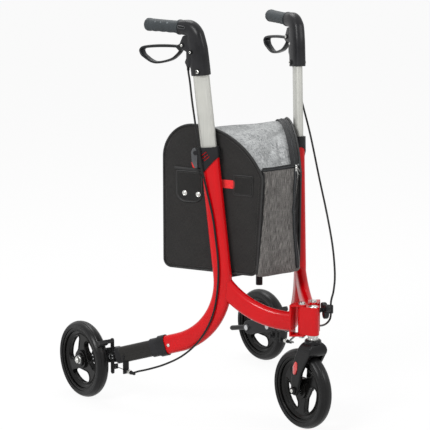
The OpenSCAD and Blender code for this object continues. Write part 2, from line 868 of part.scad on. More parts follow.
// Brake: strip on its pivot, strap over to the shoe, lug for the inner wire
strap_l = 10;
strap_fore = 4;
shoe_l = 12;
strip_foot = 12;
wire_in = 2;
wire_low = 39;
wire_r = 1;
lug_y = 4;
lug_half = 6.5;
lug_hole_r = 2.4;
pivot_eye_r = 9;
wire_x = end_x + wire_in;
wire_z = end_w - wire_low;
shoe_r = tyre_r + shoe_gap;
strap_in = shoe_r + shoe_t;
strap_r = strap_in + strip_t / 2;
strap_mid = acos((pivot_ahead + strap_fore) / strap_r);
strap_half = arc_angle(strap_l / 2, strap_r);
shoe_half = arc_angle(shoe_l / 2, shoe_r);
strip_top = tyre_r + strap_r * sin(strap_mid);

// A block bent round the rear axle, ahead of the wheel, from r0 to r1 and from x0 to x1
module bent_block(r0, r1, low, high, x0, x1) {
  translate([x0, rear_y, tyre_r]) rotate([0, 90, 0]) rotate([0, 0, -90 - high])
    rotate_extrude(angle = high - low) translate([r0, 0]) square([r1 - r0, x1 - x0]);
}

module brake_arm(s) {
  py = rear_y - pivot_ahead;
  color(black) side(s) difference() {
    union() {
      plate_yz(strip_x, strip_x + strip_t) {
        link2d([py, wire_z - strip_foot], strip_w / 2, [py, strip_top], strip_w / 2);
        translate([py, pivot_z]) circle(r = pivot_eye_r);
      }
      bent_block(strap_in, strap_in + strip_t, strap_mid - strap_half, strap_mid + strap_half,
        wheel_x - shoe_w / 2, strip_mid);
      translate([strip_mid, py - lug_y / 2, wire_z - lug_half])
        cube([wire_x + lug_half - strip_mid, lug_y, 2 * lug_half]);
    }
    translate([0, py, pivot_z]) bar_x(axle_r + fit, strip_x - over, strip_x + strip_t + over);
    translate([wire_x, 0, wire_z]) bar_y(lug_hole_r, py - lug_y, py + lug_y);
  }
}

module brake_shoe(s) {
  color(rubber) side(s)
    bent_block(shoe_r, strap_in, strap_mid - shoe_half, strap_mid + shoe_half,
      wheel_x - shoe_w / 2, wheel_x + shoe_w / 2);
}

// Cable stop: tab coped to the leg, adjuster, inner wire through the brake's lug, nipple
cable_r = 2.5;
tab_ahead = 12;
tab_t = 4;
tab_half = 8;
tab_up = 50;
barrel_r = 4.5;
barrel_l = 22;
nipple_r = 3.2;
nipple_l = 5;
cable_in = 5;
tab_y = end_y - tab_ahead;
stop_y = tab_y - tab_t - barrel_l;

module cable_stop(s) {
  py = rear_y - pivot_ahead;
  color(silver) side(s) {
    difference() {
      translate([wire_x - tab_half, tab_y - tab_t, wire_z - tab_half]) cube([2 * tab_half, tab_t, tab_up]);
      on_leg() linear_extrude(height = leg_len + cap_l) oval(inner_w, inner_t);
      on_leg() translate([-tab_up - inner_t / 4, -tab_up, 0]) cube([tab_up, 2 * tab_up, leg_len]);
    }
    translate([wire_x, 0, wire_z]) {
      difference() {
        bar_y(barrel_r, stop_y, tab_y + tab_t);
        bar_y(cable_r + near, stop_y - over, stop_y + 2 * cable_in);
      }
      bar_y(wire_r, tab_y, py + lug_y + nipple_l);
      bar_y(nipple_r, py + lug_y, py + lug_y + nipple_l);
    }
  }
}

// Brake cables: routes in the side frame's own plan, as behind, outside and above
// Each runs from the housing's outlet to the cable stop, the left one through the eye
// The points between are shares of the way from one of these to the next
cable_sides = 10;
cable_cut = 4;
right_shares = [[-0.01, 0.07, 0.022], [-0.047, 0.25, 0.048], [-0.112, 0.6, 0.107], [-0.196, 0.9, 0.182],
  [-0.268, 1.12, 0.249], [-0.333, 1.21, 0.317], [-0.404, 1.13, 0.376], [-0.508, 1.08, 0.461],
  [-0.567, 1.08, 0.538], [-0.606, 1.08, 0.607], [-0.6, 1.08, 0.678], [-0.534, 1.08, 0.759],
  [-0.398, 1.08, 0.823], [-0.203, 1.05, 0.877], [0.07, 1.03, 0.924], [0.376, 1.13, 0.957],
  [0.655, 1.28, 0.978], [0.824, 1.4, 0.988]];
left_upper_shares = [[0.005, 0.12, 0.061], [0.019, 0.39, 0.141], [0.065, 0.66, 0.228], [0.169, 0.98, 0.351],
  [0.319, 1.31, 0.525], [0.482, 1.55, 0.669], [0.647, 1.66, 0.797], [0.807, 1.55, 0.9],
  [0.929, 1.28, 0.955], [0.984, 1.07, 0.983]];
left_lower_shares = [[0.013, 0.09, 0.064], [0.056, 0.32, 0.14], [0.123, 0.61, 0.207], [0.248, 1.01, 0.289],
  [0.402, 1.59, 0.417], [0.606, 1.93, 0.662], [0.806, 1.6, 0.857], [0.94, 0.45, 0.975]];
outlet_q = 26;
outlet_drop = 93;
eye_lead = 6;

// Ends of the routes, with a straight lead in and out of each hole
rise = [0, 0, cable_in];
lead_in = cable_in * [cos(splay), -sin(splay), 0];
outlet = [mast_u + handle_up * sin(lean) + outlet_q * cos(grip_turn),
  frame_out - outlet_q * sin(grip_turn), mast_top + handle_up * cos(lean) - outlet_drop];
stop = frame_uv(wire_x, stop_y, wire_z);
eye = frame_uv(-eye_reach * cos(guide_way), stem_y + eye_reach * sin(guide_way), eye_z);
eye_rise = [0, 0, eye_l + eye_lead];

function along(a, b, q) = [for (k = [0 : 2]) a[k] + q[k] * (b[k] - a[k])];

right_route = concat([outlet + rise, outlet - rise], [for (q = right_shares) along(outlet, stop, q)],
  [stop - lead_in, stop + lead_in]);
left_route = concat([outlet + rise, outlet - rise],
  [for (q = left_upper_shares) along(outlet, eye + eye_rise, q)], [eye + eye_rise, eye, eye - eye_rise],
  [for (q = left_lower_shares) along(eye - eye_rise, stop, q)], [stop - lead_in, stop + lead_in]);

function blend(a, b, c, d, t) = 0.5 * (2 * b + (c - a) * t + (2 * a - 5 * b + 4 * c - d) * t * t
  + (3 * b - 3 * c + d - a) * t * t * t);

function smooth(p) = let (n = len(p)) concat([for (i = [0 : n - 2]) for (k = [0 : cable_cut - 1])
  blend(p[max(i - 1, 0)], p[i], p[i + 1], p[min(i + 2, n - 1)], k / cable_cut)], [p[n - 1]]);

function unit(v) = v / norm(v);

module cord(route) {
  p = smooth(route);
  n = len(p);
  m = cable_sides;
  rings = [for (i = [0 : n - 1])
    let (way = unit(p[min(i + 1, n - 1)] - p[max(i - 1, 0)]))
    let (a = unit(cross(way, [0, 1, 0])))
    let (b = cross(way, a))
    for (k = [0 : m - 1]) p[i] + cable_r * (cos(360 * k / m) * a + sin(360 * k / m) * b)];
  sides = [for (i = [0 : n - 2]) for (k = [0 : m - 1])
    [i * m + k, i * m + (k + 1) % m, (i + 1) * m + (k + 1) % m, (i + 1) * m + k]];
  caps = [[for (k = [0 : m - 1]) m - 1 - k], [for (k = [0 : m - 1]) (n - 1) * m + k]];
  polyhedron(points = rings, faces = concat(sides, caps), convexity = 10);
}

module brake_cable(s) {
  color(black) side(s) on_hinge() cord(s > 0 ? right_route : left_route);
}

// Silver tube, bolted in the housing
bolt_up = 10;

module inner_tube(s) {
  color(silver) side(s) on_mast() difference() {
    translate([0, 0, -inner_in]) linear_extrude(height = inner_in + handle_foot + socket_in)
      oval(inner_w, inner_t);
    translate([0, 0, -inner_in - over]) linear_extrude(height = inner_in + handle_foot + socket_in + 2 * over)
      oval(inner_w - 2 * inner_wall, inner_t - 2 * inner_wall);
    translate([0, 0, handle_foot + bolt_up]) bar_y(pin_r, -tube_t, tube_t);
  }
}

// Housing: socket, elbow, neck, bar for the grip, lever ears and cable outlet
ear_t = 4.5;
ear_r = 9;
ear_root_q = 6;
ear_root_r = 13;
ear_top_q = 30;
outlet_r = 6;
outlet_top = 62;
outlet_t = 16;
screw_q = 5;
screw_drop = 57;
neck_in = 10;
spigot_end = 9;

module housing(s) {
  color(black) side(s) difference() {
    union() {
      on_mast() translate([0, 0, handle_foot])
        linear_extrude(height = handle_up - handle_foot - elbow_r) oval(socket_w, socket_t);
      on_grip() {
        translate([elbow_r, 0, -elbow_r]) rotate([90, 0, 0]) rotate([0, 0, 90])
          rotate_extrude(angle = 90) translate([elbow_r, 0]) oval(elbow_w, elbow_t);
        translate([0, 0, -lever_drop]) linear_extrude(height = lever_drop - elbow_r) oval(elbow_w, elbow_t);
        translate([elbow_r, 0, 0]) rotate([0, 90, 0])
          linear_extrude(height = ring_q - elbow_r) oval(elbow_w, elbow_t);
        bar_x(spigot_r, ring_q - neck_in, ring_q + grip_l - spigot_end);
        for (m = [0, 1]) mirror([0, m, 0]) translate([0, (lever_t + ear_t) / 2 + gap, 0]) plate_xz(ear_t) {
          link2d([ear_root_q, -lever_drop], ear_root_r, [lever_q, -lever_drop], ear_r);
          link2d([lever_q, -lever_drop], ear_r, [ear_top_q, -elbow_r], ear_r);
        }
        plate_xz(outlet_t)
          link2d([ear_root_q, -outlet_top], ear_root_r, [outlet_q, -outlet_drop + outlet_r], outlet_r);
        translate([outlet_q, 0, -outlet_drop]) cylinder(r = outlet_r - over, h = 2 * outlet_r);
      }
    }
    on_mast() translate([0, 0, handle_foot - over])
      linear_extrude(height = socket_in + over) oval(inner_w, inner_t);
    on_mast() translate([0, 0, handle_foot + bolt_up]) bar_y(pin_r, -tube_w, tube_w);
    on_grip() translate([lever_q, 0, -lever_drop]) bar_y(pin_r, -tube_w, tube_w);
    on_grip() translate([screw_q, 0, -screw_drop]) bar_y(pin_r, -tube_w, tube_w);
    on_grip() translate([outlet_q, 0, -outlet_drop - over]) cylinder(r = cable_r + near, h = outlet_r + over);
  }
}

module handle_screws(s) {
  half = socket_t / 2;
  ear = lever_t / 2 + gap + ear_t;
  color(silver) side(s) {
    on_mast() translate([0, 0, handle_foot + bolt_up]) {
      bar_y(pin_r, -half - pin_head_h, half + pin_head_h);
      bar_y(pin_head_r, half, half + pin_head_h);
      bar_y(pin_head_r, -half - pin_head_h, -half);
    }
    on_grip() translate([lever_q, 0, -lever_drop]) {
      bar_y(pin_r, -ear - edge, ear + edge);
      bar_y(pin_head_r, ear, ear + edge);
      bar_y(pin_head_r, -ear - edge, -ear);
    }
    on_grip() translate([screw_q, 0, -screw_drop]) bar_y(pin_r, -half - edge, half + edge);
  }
}

// Grip: ringed sleeve on the housing's bar, with a rounded end
module grip(s) {
  round = grip_d / 4;
  color(rubber) side(s) on_grip() translate([ring_q, 0, 0]) rotate([0, 90, 0]) difference() {
    rotate_extrude() {
      square([ring_d / 2, ring_l]);
      square([grip_d / 2, grip_l - round]);
      square([grip_d / 2 - round, grip_l]);
      translate([grip_d / 2 - round, grip_l - round]) circle(r = round);
      translate([grip_d / 2 - edge, grip_l / 2]) circle(r = 2 * edge);
    }
    translate([0, 0, -over]) cylinder(r = spigot_r, h = grip_l - spigot_end + over);
  }
}

// Brake lever: pivot eye and a long loop, drawn from the pivot in shares of its reach
lever_reach = 146;
lever_eye_r = 8;
loop_shares = [[0.14, -0.035], [0.53, -0.05], [0.88, -0.092], [0.97, -0.135], [0.97, -0.19],
  [0.90, -0.255], [0.66, -0.34], [0.32, -0.27], [0.15, -0.165], [0.075, -0.07]];

module lever_outline() {
  n = len(loop_shares);
  for (i = [0 : n - 1])
    link2d(lever_reach * loop_shares[i], loop_r, lever_reach * loop_shares[(i + 1) % n], loop_r);
  link2d([0, 0], lever_eye_r, lever_reach * loop_shares[0], loop_r);
}

module brake_lever(s) {
  color(black) side(s) on_grip() translate([lever_q, 0, -lever_drop]) plate_xz(lever_t) difference() {
    lever_outline();
    circle(r = pin_r + fit);
  }
}

// Bag: side panels on the frames, body lofted between them, front pocket
bag_foot = arm_h + bag_lift;
bag_top = bag_foot + bag_h;
bag_steps = 8;
bag_inset = 3;
panel_v = collar_t / 2 + near;
bag_v = frame_out - panel_v - panel_t - gap;
flap_l = 70;
flap_h = 76;
flap_u = 275;
flap_up = 171;
flap_t = 2.5;
flap_r = 8;

function arc(c, r, a0, a1) = [for (k = [0 : bag_steps]) c + polar(r, a0 + (a1 - a0) * k / bag_steps)];

function bag_ring(i) = concat(
  arc([bag_front + bag_corner_r, bag_foot + bag_corner_r], bag_corner_r - i, 180, 270),
  arc([bag_rear - bag_corner_r, bag_foot + bag_corner_r], bag_corner_r - i, 270, 360),
  arc([bag_rear - bag_rear_r, bag_top - bag_rear_r], bag_rear_r - i, 0, 90),
  arc([bag_crown_u, bag_top - bag_front_r], bag_front_r - i, 90,
    acos((bag_front + i - bag_crown_u) / (bag_front_r - i))));

module bag_panel(s) {
  color(dark_grey) side(s) on_frame() translate([0, -panel_v, 0]) rotate([90, 0, 0]) {
    linear_extrude(height = panel_t) polygon(bag_ring(0));
    translate([flap_u + flap_r, bag_foot + flap_up + flap_r, -flap_t]) linear_extrude(height = flap_t + edge)
      for (k = [0, 1]) {
        translate([k * (flap_l - 2 * flap_r), 0]) circle(r = flap_r);
        translate([-flap_r, 0]) square([flap_l, flap_h - flap_r]);
        translate([0, -flap_r]) square([flap_l - 2 * flap_r, flap_h]);
      }
  }
}

module bag_body() {
  ring = bag_ring(bag_inset);
  n = len(ring);
  points = [for (s = [1, -1]) for (q = ring)
    let (xy = frame_xy(q[0], bag_v)) [s * xy[0], xy[1], q[1]]];
  sides = [for (k = [0 : n - 1]) [k, (k + 1) % n, n + (k + 1) % n, n + k]];
  caps = [[for (k = [0 : n - 1]) n - 1 - k], [for (k = [0 : n - 1]) n + k]];
  color(grey) polyhedron(points = points, faces = concat(sides, caps), convexity = 4);
}

pocket_xy = frame_xy(bag_front + bag_inset, bag_v);

module bag_pocket() {
  half = -pocket_xy[0] - edge;
  round = (half * half + pocket_bulge * pocket_bulge) / (2 * pocket_bulge);
  color(dark_grey) translate([0, pocket_xy[1], bag_foot + edge])
    linear_extrude(height = pocket_h) intersection() {
      translate([-half, -pocket_d]) square([2 * half, pocket_d]);
      translate([0, round - pocket_d]) circle(r = round, $fn = 180);
    }
}

// Folding brace: two links stacked at the hub, peg under the lower one
module brace_link(s) {
  z = s > 0 ? brace_z : brace_z - link_t - near;
  color(steel) side(s) difference() {
    union() {
      translate([0, 0, z]) linear_extrude(height = link_t) link2d(brace_xy, link_r, [0, brace_xy[1]], link_r);
      if (s > 0) translate([0, brace_xy[1], z + link_t]) cylinder(r = pin_head_r, h = pin_head_h);
    }
    translate([brace_xy[0], brace_xy[1], z - over]) cylinder(r = pin_r + fit, h = link_t + 2 * over);
  }
}

module brace_peg() {
  color(black) translate([0, brace_xy[1], brace_z - link_t - near - hub_peg_l])
    cylinder(r = hub_peg_r, h = hub_peg_l);
}

head_post();
stem_bearings();
hinge_bolts();
cable_guide();
caster_fork();
caster_stem();
fork_reflectors();
front_axle();
front_tyre();
front_rim();
front_bearings();
main_tube(1);  // right_main_tube
front_arm(1);  // right_front_arm
collar(1);  // right_collar
leg_sleeve(1);  // right_leg_sleeve
leg_tube(1);  // right_leg_tube
wheel_arm(1);  // right_wheel_arm
wheel_bolts(1);  // right_wheel_bolts
cable_stop(1);  // right_cable_stop
brake_cable(1);  // right_brake_cable
bag_panel(1);  // right_bag_panel
inner_tube(1);  // right_inner_tube
housing(1);  // right_housing
grip(1);  // right_grip
handle_screws(1);  // right_handle_screws
brake_lever(1);  // right_brake_lever
height_lever(1);  // right_height_lever
height_button(1);  // right_height_button
color(rubber) at_side_rear_wheel(1) wheel_tyre();  // right_tyre
color(black) at_side_rear_wheel(1) wheel_rim();  // right_rim
color(steel) at_side_rear_wheel(1) wheel_bearings();  // right_bearings
brake_arm(1);  // right_brake_arm
brake_shoe(1);  // right_brake_shoe
brace_link(1);  // right_brace_link
main_tube(-1);  // left_main_tube
front_arm(-1);  // left_front_arm
collar(-1);  // left_collar
leg_sleeve(-1);  // left_leg_sleeve
leg_tube(-1);  // left_leg_tube
wheel_arm(-1);  // left_wheel_arm
wheel_bolts(-1);  // left_wheel_bolts
cable_stop(-1);  // left_cable_stop
brake_cable(-1);  // left_brake_cable
bag_panel(-1);  // left_bag_panel
inner_tube(-1);  // left_inner_tube
housing(-1);  // left_housing
grip(-1);  // left_grip
handle_screws(-1);  // left_handle_screws
brake_lever(-1);  // left_brake_lever
height_lever(-1);  // left_height_lever
height_button(-1);  // left_height_button
color(rubber) at_side_rear_wheel(-1) wheel_tyre();  // left_tyre
color(black) at_side_rear_wheel(-1) wheel_rim();  // left_rim
color(steel) at_side_rear_wheel(-1) wheel_bearings();  // left_bearings
brake_arm(-1);  // left_brake_arm
brake_shoe(-1);  // left_brake_shoe
brace_link(-1);  // left_brace_link
bag_body();
bag_pocket();
brace_peg();
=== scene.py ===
import bmesh
import bpy
import numpy as np
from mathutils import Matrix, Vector


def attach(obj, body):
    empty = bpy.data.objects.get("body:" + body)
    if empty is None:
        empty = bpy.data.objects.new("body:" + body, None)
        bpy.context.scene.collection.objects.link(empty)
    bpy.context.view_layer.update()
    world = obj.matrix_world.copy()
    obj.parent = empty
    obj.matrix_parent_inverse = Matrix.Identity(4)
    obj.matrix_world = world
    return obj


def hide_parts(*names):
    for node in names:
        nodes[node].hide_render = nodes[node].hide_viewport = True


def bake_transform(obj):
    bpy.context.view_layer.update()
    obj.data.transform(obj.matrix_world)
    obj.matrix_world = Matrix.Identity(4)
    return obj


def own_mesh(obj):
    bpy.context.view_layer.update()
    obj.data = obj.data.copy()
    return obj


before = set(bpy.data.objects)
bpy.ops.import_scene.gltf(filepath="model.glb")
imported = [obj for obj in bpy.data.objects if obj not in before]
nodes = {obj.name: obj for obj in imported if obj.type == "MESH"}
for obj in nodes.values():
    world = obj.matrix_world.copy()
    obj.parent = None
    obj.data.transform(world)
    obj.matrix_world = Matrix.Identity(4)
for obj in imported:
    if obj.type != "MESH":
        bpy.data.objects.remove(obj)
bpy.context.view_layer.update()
mm = 0.001
sides = {"right": 1, "left": -1}
upward, sideways, ahead = (0, 0, 1), (1.0, 0.0, 0.0), np.array([0.0, -1.0, 0.0])
print("frame loaded:", len(nodes), "nodes")


# camera at the photo's angle, soft lamps, white surroundings
camera = {"azimuth": 36.136, "elevation": 11.553, "focal": 1869.66, "frame": 430, "sensor": 36.0,
          "place": (-2.7858, -3.7208, 1.4414), "far": 100.0}
studio = {"ambient": 0.50, "floor": 0.86, "white": 0.92, "sky": 0.97, "reach": 30.0,
          "lamps": [((-2.6, -0.9, 2.6), 1.3, 78.0), ((1.2, -2.8, 2.4), 1.2, 30.0), ((0.3, 1.4, 3.2), 1.8, 52.0)],
          "aim": (0.0, 0.0, 0.5)}


def place(name, data):
    made = bpy.data.objects.new(name, data)
    bpy.context.scene.collection.objects.link(made)
    return made


def setCamera():
    az, el = np.radians([camera["azimuth"], camera["elevation"]])
    look = Vector((np.sin(az) * np.cos(el), np.cos(az) * np.cos(el), -np.sin(el)))
    eye = bpy.data.cameras.new("camera")
    eye.sensor_width, eye.clip_end = camera["sensor"], camera["far"]
    eye.lens = camera["sensor"] * camera["focal"] / camera["frame"]
    made = place("camera", eye)
    made.location = camera["place"]
    made.rotation_euler = look.to_track_quat("-Z", "Y").to_euler()
    bpy.context.scene.camera = made


class Wire:
    # an output socket: arithmetic on it adds Math nodes, so a mask reads as a sum
    def __init__(self, tree, socket):
        self.tree, self.socket = tree, socket

    def make(self, kind, settings=None, sockets=None, out=0):
        # any other node: its settings first, then the values or links of its sockets
        node = self.tree.nodes.new("ShaderNode" + kind)
        for key, value in (settings or {}).items():
            setattr(node, key, value)
        for key, value in (sockets or {}).items():
            self.plug(node.inputs[key], value)
        return Wire(self.tree, node.outputs[out])

    def plug(self, target, value):
        if isinstance(value, Wire):
            self.tree.links.new(value.socket, target)
        elif hasattr(target.default_value, "__len__") and len(target.default_value) == 4 and len(value) == 3:
            target.default_value = (*value, 1.0)
        else:
            target.default_value = value

    def calc(self, operation, *values):
        return self.make("Math", {"operation": operation}, dict(enumerate(values)))

    def __add__(self, other):
        return self.calc("ADD", self, other)

    def __rsub__(self, other):
        return self.calc("SUBTRACT", other, self)

    def __mul__(self, other):
        return self.calc("MULTIPLY", self, other)

    def sine(self):
        return self.calc("SINE", self)

    def clip(self):
        return self.make("Clamp", None, {0: self, 1: 0.0, 2: 1.0})

    def ramp(self, low, high, start=0.0, end=1.0):
        # the value stretched so that low becomes start and high becomes end, held there outside
        return self.make("MapRange", {"clamp": True}, {0: self, 1: low, 2: high, 3: start, 4: end})

    def stretched(self, scale):
        return self.make("VectorMath", {"operation": "MULTIPLY"}, {0: self, 1: scale})

    def noise(self, scale, detail=3.0, rough=0.55):
        return self.make("TexNoise", None, {"Vector": self, "Scale": scale, "Detail": detail, "Roughness": rough})

    def between(self, first, second):
        # a colour mixed by this value
        return self.make("Mix", {"data_type": "RGBA"}, {0: self, 6: first, 7: second}, out=2)

    def part(self, index):
        return self.make("SeparateXYZ", None, {0: self}, out=index)


def seenRays(holder):
    # 1 for the rays that show the surroundings: camera, glossy and transmission rays
    holder.use_nodes = True
    tree = holder.node_tree
    tree.nodes.clear()
    rays = tree.nodes.new("ShaderNodeLightPath")
    direct, glossy, through = (Wire(tree, rays.outputs[f"Is {k} Ray"]) for k in ("Camera", "Glossy", "Transmission"))
    return (direct + glossy + through).clip()


def closeTree(kind, share, first, second):
    mixed = share.make("MixShader", None, {0: share, 1: first, 2: second})
    end = share.tree.nodes.new("ShaderNodeOutput" + kind)
    share.tree.links.new(mixed.socket, end.inputs[0])


def setStudio():
    scene = bpy.context.scene
    scene.view_settings.view_transform = "Standard"
    scene.world = bpy.data.worlds.new("studio")
    seen = seenRays(scene.world)
    plain, white = (seen.make("Background", None, {0: (1, 1, 1), 1: studio[k]}) for k in ("ambient", "sky"))
    closeTree("World", seen, plain, white)

    ground = bpy.data.materials.new("floor")
    seen = seenRays(ground)
    matt = seen.make("BsdfDiffuse", None, {0: (studio["floor"],) * 3})
    glow = seen.make("Emission", None, {0: (1, 1, 1), 1: 1.0})
    closeTree("Material", seen * studio["white"], matt, glow)
    half = studio["reach"]
    floor = bpy.data.meshes.new("floor")
    floor.from_pydata([(-half, -half, 0), (half, -half, 0), (half, half, 0), (-half, half, 0)], [], [(0, 1, 2, 3)])
    floor.materials.append(ground)
    place("floor", floor)

    for k, (spot, size, power) in enumerate(studio["lamps"]):
        lamp = bpy.data.lights.new(f"lamp{k}", "AREA")
        lamp.shape, lamp.size, lamp.energy = "DISK", size, power
        made = place(f"lamp{k}", lamp)
        made.location = spot
        made.rotation_euler = (Vector(studio["aim"]) - Vector(spot)).to_track_quat("-Z", "Y").to_euler()


setCamera()
setStudio()
print("camera and studio set")


# finishes, one Principled shader each
def srgb(*levels):
    # screen levels 0 to 255 as linear light
    c = np.array(levels) / 255.0
    return tuple(float(x) for x in np.where(c <= 0.04045, c / 12.92, ((c + 0.055) / 1.055) ** 2.4))


class Finish:
    # a material with one Principled shader; the constants of its sockets are set directly
    def __init__(self, name, **constants):
        self.material = bpy.data.materials.new(name)
        self.material.use_nodes = True
        tree = self.material.node_tree
        tree.nodes.clear()
        end = tree.nodes.new("ShaderNodeOutputMaterial")
        self.shader = tree.nodes.new("ShaderNodeBsdfPrincipled")
        tree.links.new(self.shader.outputs[0], end.inputs[0])
        for key, value in constants.items():
            self.shader.inputs[key.replace("_", " ")].default_value = value
        self.place = Wire(tree, tree.nodes.new("ShaderNodeTexCoord").outputs["Object"])
        self.cloth = Wire(tree, self.place.socket.node.outputs["UV"])

    def feed(self, **wires):
        for key, wire in wires.items():
            self.place.plug(self.shader.inputs[key.replace("_", " ")], wire)
        return self

    def rounded(self, round):
        return self.place.make("Bevel", {"samples": 4}, {0: round})

    def relief(self, height, depth, strength, round=0.0):
        # bump on the surface's normal, or on a normal rounded over the edges of a hard piece
        sockets = {"Height": height, "Distance": depth, "Strength": strength}
        if round:
            sockets["Normal"] = self.rounded(round)
        return self.feed(Normal=self.place.make("Bump", None, sockets))

    def edges(self, round):
        # 1 on the edges of a hard piece: where the rounded normal leaves the plain one
        plain = self.place.make("NewGeometry", out=1)
        pair = {0: self.rounded(round), 1: plain}
        return (1 - self.place.make("VectorMath", {"operation": "DOT_PRODUCT"}, pair, out=1)).ramp(0.02, 0.2)


def glossPaint(name, deep, bright):
    # sprayed gloss: faint cloudiness in the colour, orange peel in the relief, a clear coat on top
    f = Finish(name, Metallic=0.0, Coat_Weight=0.28, Coat_Roughness=0.05, Coat_IOR=1.5, Specular_IOR_Level=0.12)
    cloud = f.place.noise(9.0, 4.0)
    fine = f.place.noise(700.0, 2.0)
    f.feed(Base_Color=cloud.ramp(0.3, 0.7).between(deep, bright), Roughness=cloud.ramp(0.3, 0.7, 0.26, 0.36))
    return f.relief(fine, 0.00006, 0.5, 0.0010)


def mouldedPlastic(name, deep, bright, rough, grain=1400.0, round=0.0008):
    # moulded plastic: fine spark-eroded grain, slow change of sheen, edges painted a little lighter as a painted
    # highlight
    f = Finish(name, Metallic=0.0, IOR=1.5, Specular_IOR_Level=0.2)
    cloud = f.place.noise(22.0, 4.0)
    pits = f.place.noise(grain, 2.0)
    tone = (cloud.ramp(0.3, 0.7) * 0.8 + f.edges(round * 1.5) * 0.35).clip()
    f.feed(Base_Color=tone.between(deep, bright), Roughness=cloud.ramp(0.3, 0.7, rough - 0.05, rough + 0.07))
    return f.relief(pits, 0.00010, 0.6, round)


def metalSurface(name, deep, bright, rough, along, metallic=1.0):
    # drawn metal: fine streaks along the drawing direction in colour, sheen and relief
    f = Finish(name, Metallic=metallic, Specular_IOR_Level=0.2)
    streak = f.place.stretched(along).noise(1.0, 3.0)
    tone = (streak * 0.65 + f.place.noise(14.0, 3.0) * 0.35).ramp(0.3, 0.7)
    f.feed(Base_Color=tone.between(deep, bright), Roughness=tone.ramp(0.0, 1.0, rough - 0.06, rough + 0.08))
    return f.relief(streak, 0.00003, 0.5, 0.0006)


def softRubber(name, deep, bright, rough, grain=900.0):
    # rubber: dull, with a fine stipple and paler scuffs
    f = Finish(name, Metallic=0.0, Specular_IOR_Level=0.22)
    cloud = f.place.noise(16.0, 5.0, 0.65)
    pits = f.place.noise(grain, 2.0)
    f.feed(Base_Color=cloud.ramp(0.35, 0.75).between(deep, bright),
           Roughness=cloud.ramp(0.3, 0.7, rough - 0.06, rough + 0.08))
    return f.relief(pits, 0.00012, 0.7)


def wovenCloth(name, deep, bright, pitch, slub, rough=0.85, cloudy=0.15):
    # plain weave in the piece's own UV map, in metres: crossing threads lift in turn, and slubs run both ways
    f = Finish(name, Metallic=0.0, Sheen_Weight=0.15, Sheen_Roughness=0.5, Specular_IOR_Level=0.1)
    turn = 2 * np.pi / pitch
    lift = (f.cloth.part(0) * turn).sine() * (f.cloth.part(1) * turn).sine()
    thin, long, mix = slub
    warp = f.cloth.stretched((1 / thin, 1 / long, 1.0)).noise(1.0, 2.0, 0.6)
    weft = f.cloth.stretched((1 / long, 1 / thin, 1.0)).noise(1.0, 2.0, 0.6)
    # a slow cloud in the tone, its share set by cloudy; the lid's larger share is painted shade, dark smudges for the
    # shading of its dents
    tone = warp * mix + weft * (1 - cloudy - mix) + f.cloth.noise(28.0, 3.0) * cloudy
    f.feed(Base_Color=(tone + lift * 0.05).ramp(0.36, 0.64).between(deep, bright),
           Roughness=tone.ramp(0.3, 0.7, rough - 0.06, rough + 0.08))
    return f.relief(lift * 0.5 + warp * 0.5, 0.00025, 0.8)


def prismLens(name, deep, bright):
    # prism lens: small pyramid cells under a clear gloss face
    f = Finish(name, Metallic=0.0, Coat_Weight=1.0, Coat_Roughness=0.03, Roughness=0.2, IOR=1.5)
    cell = f.place.make("TexVoronoi", {"feature": "DISTANCE_TO_EDGE"}, {"Vector": f.place, "Scale": 420.0})
    f.feed(Base_Color=cell.ramp(0.0, 0.25).between(deep, bright))
    return f.relief(cell, 0.0004, 0.6)


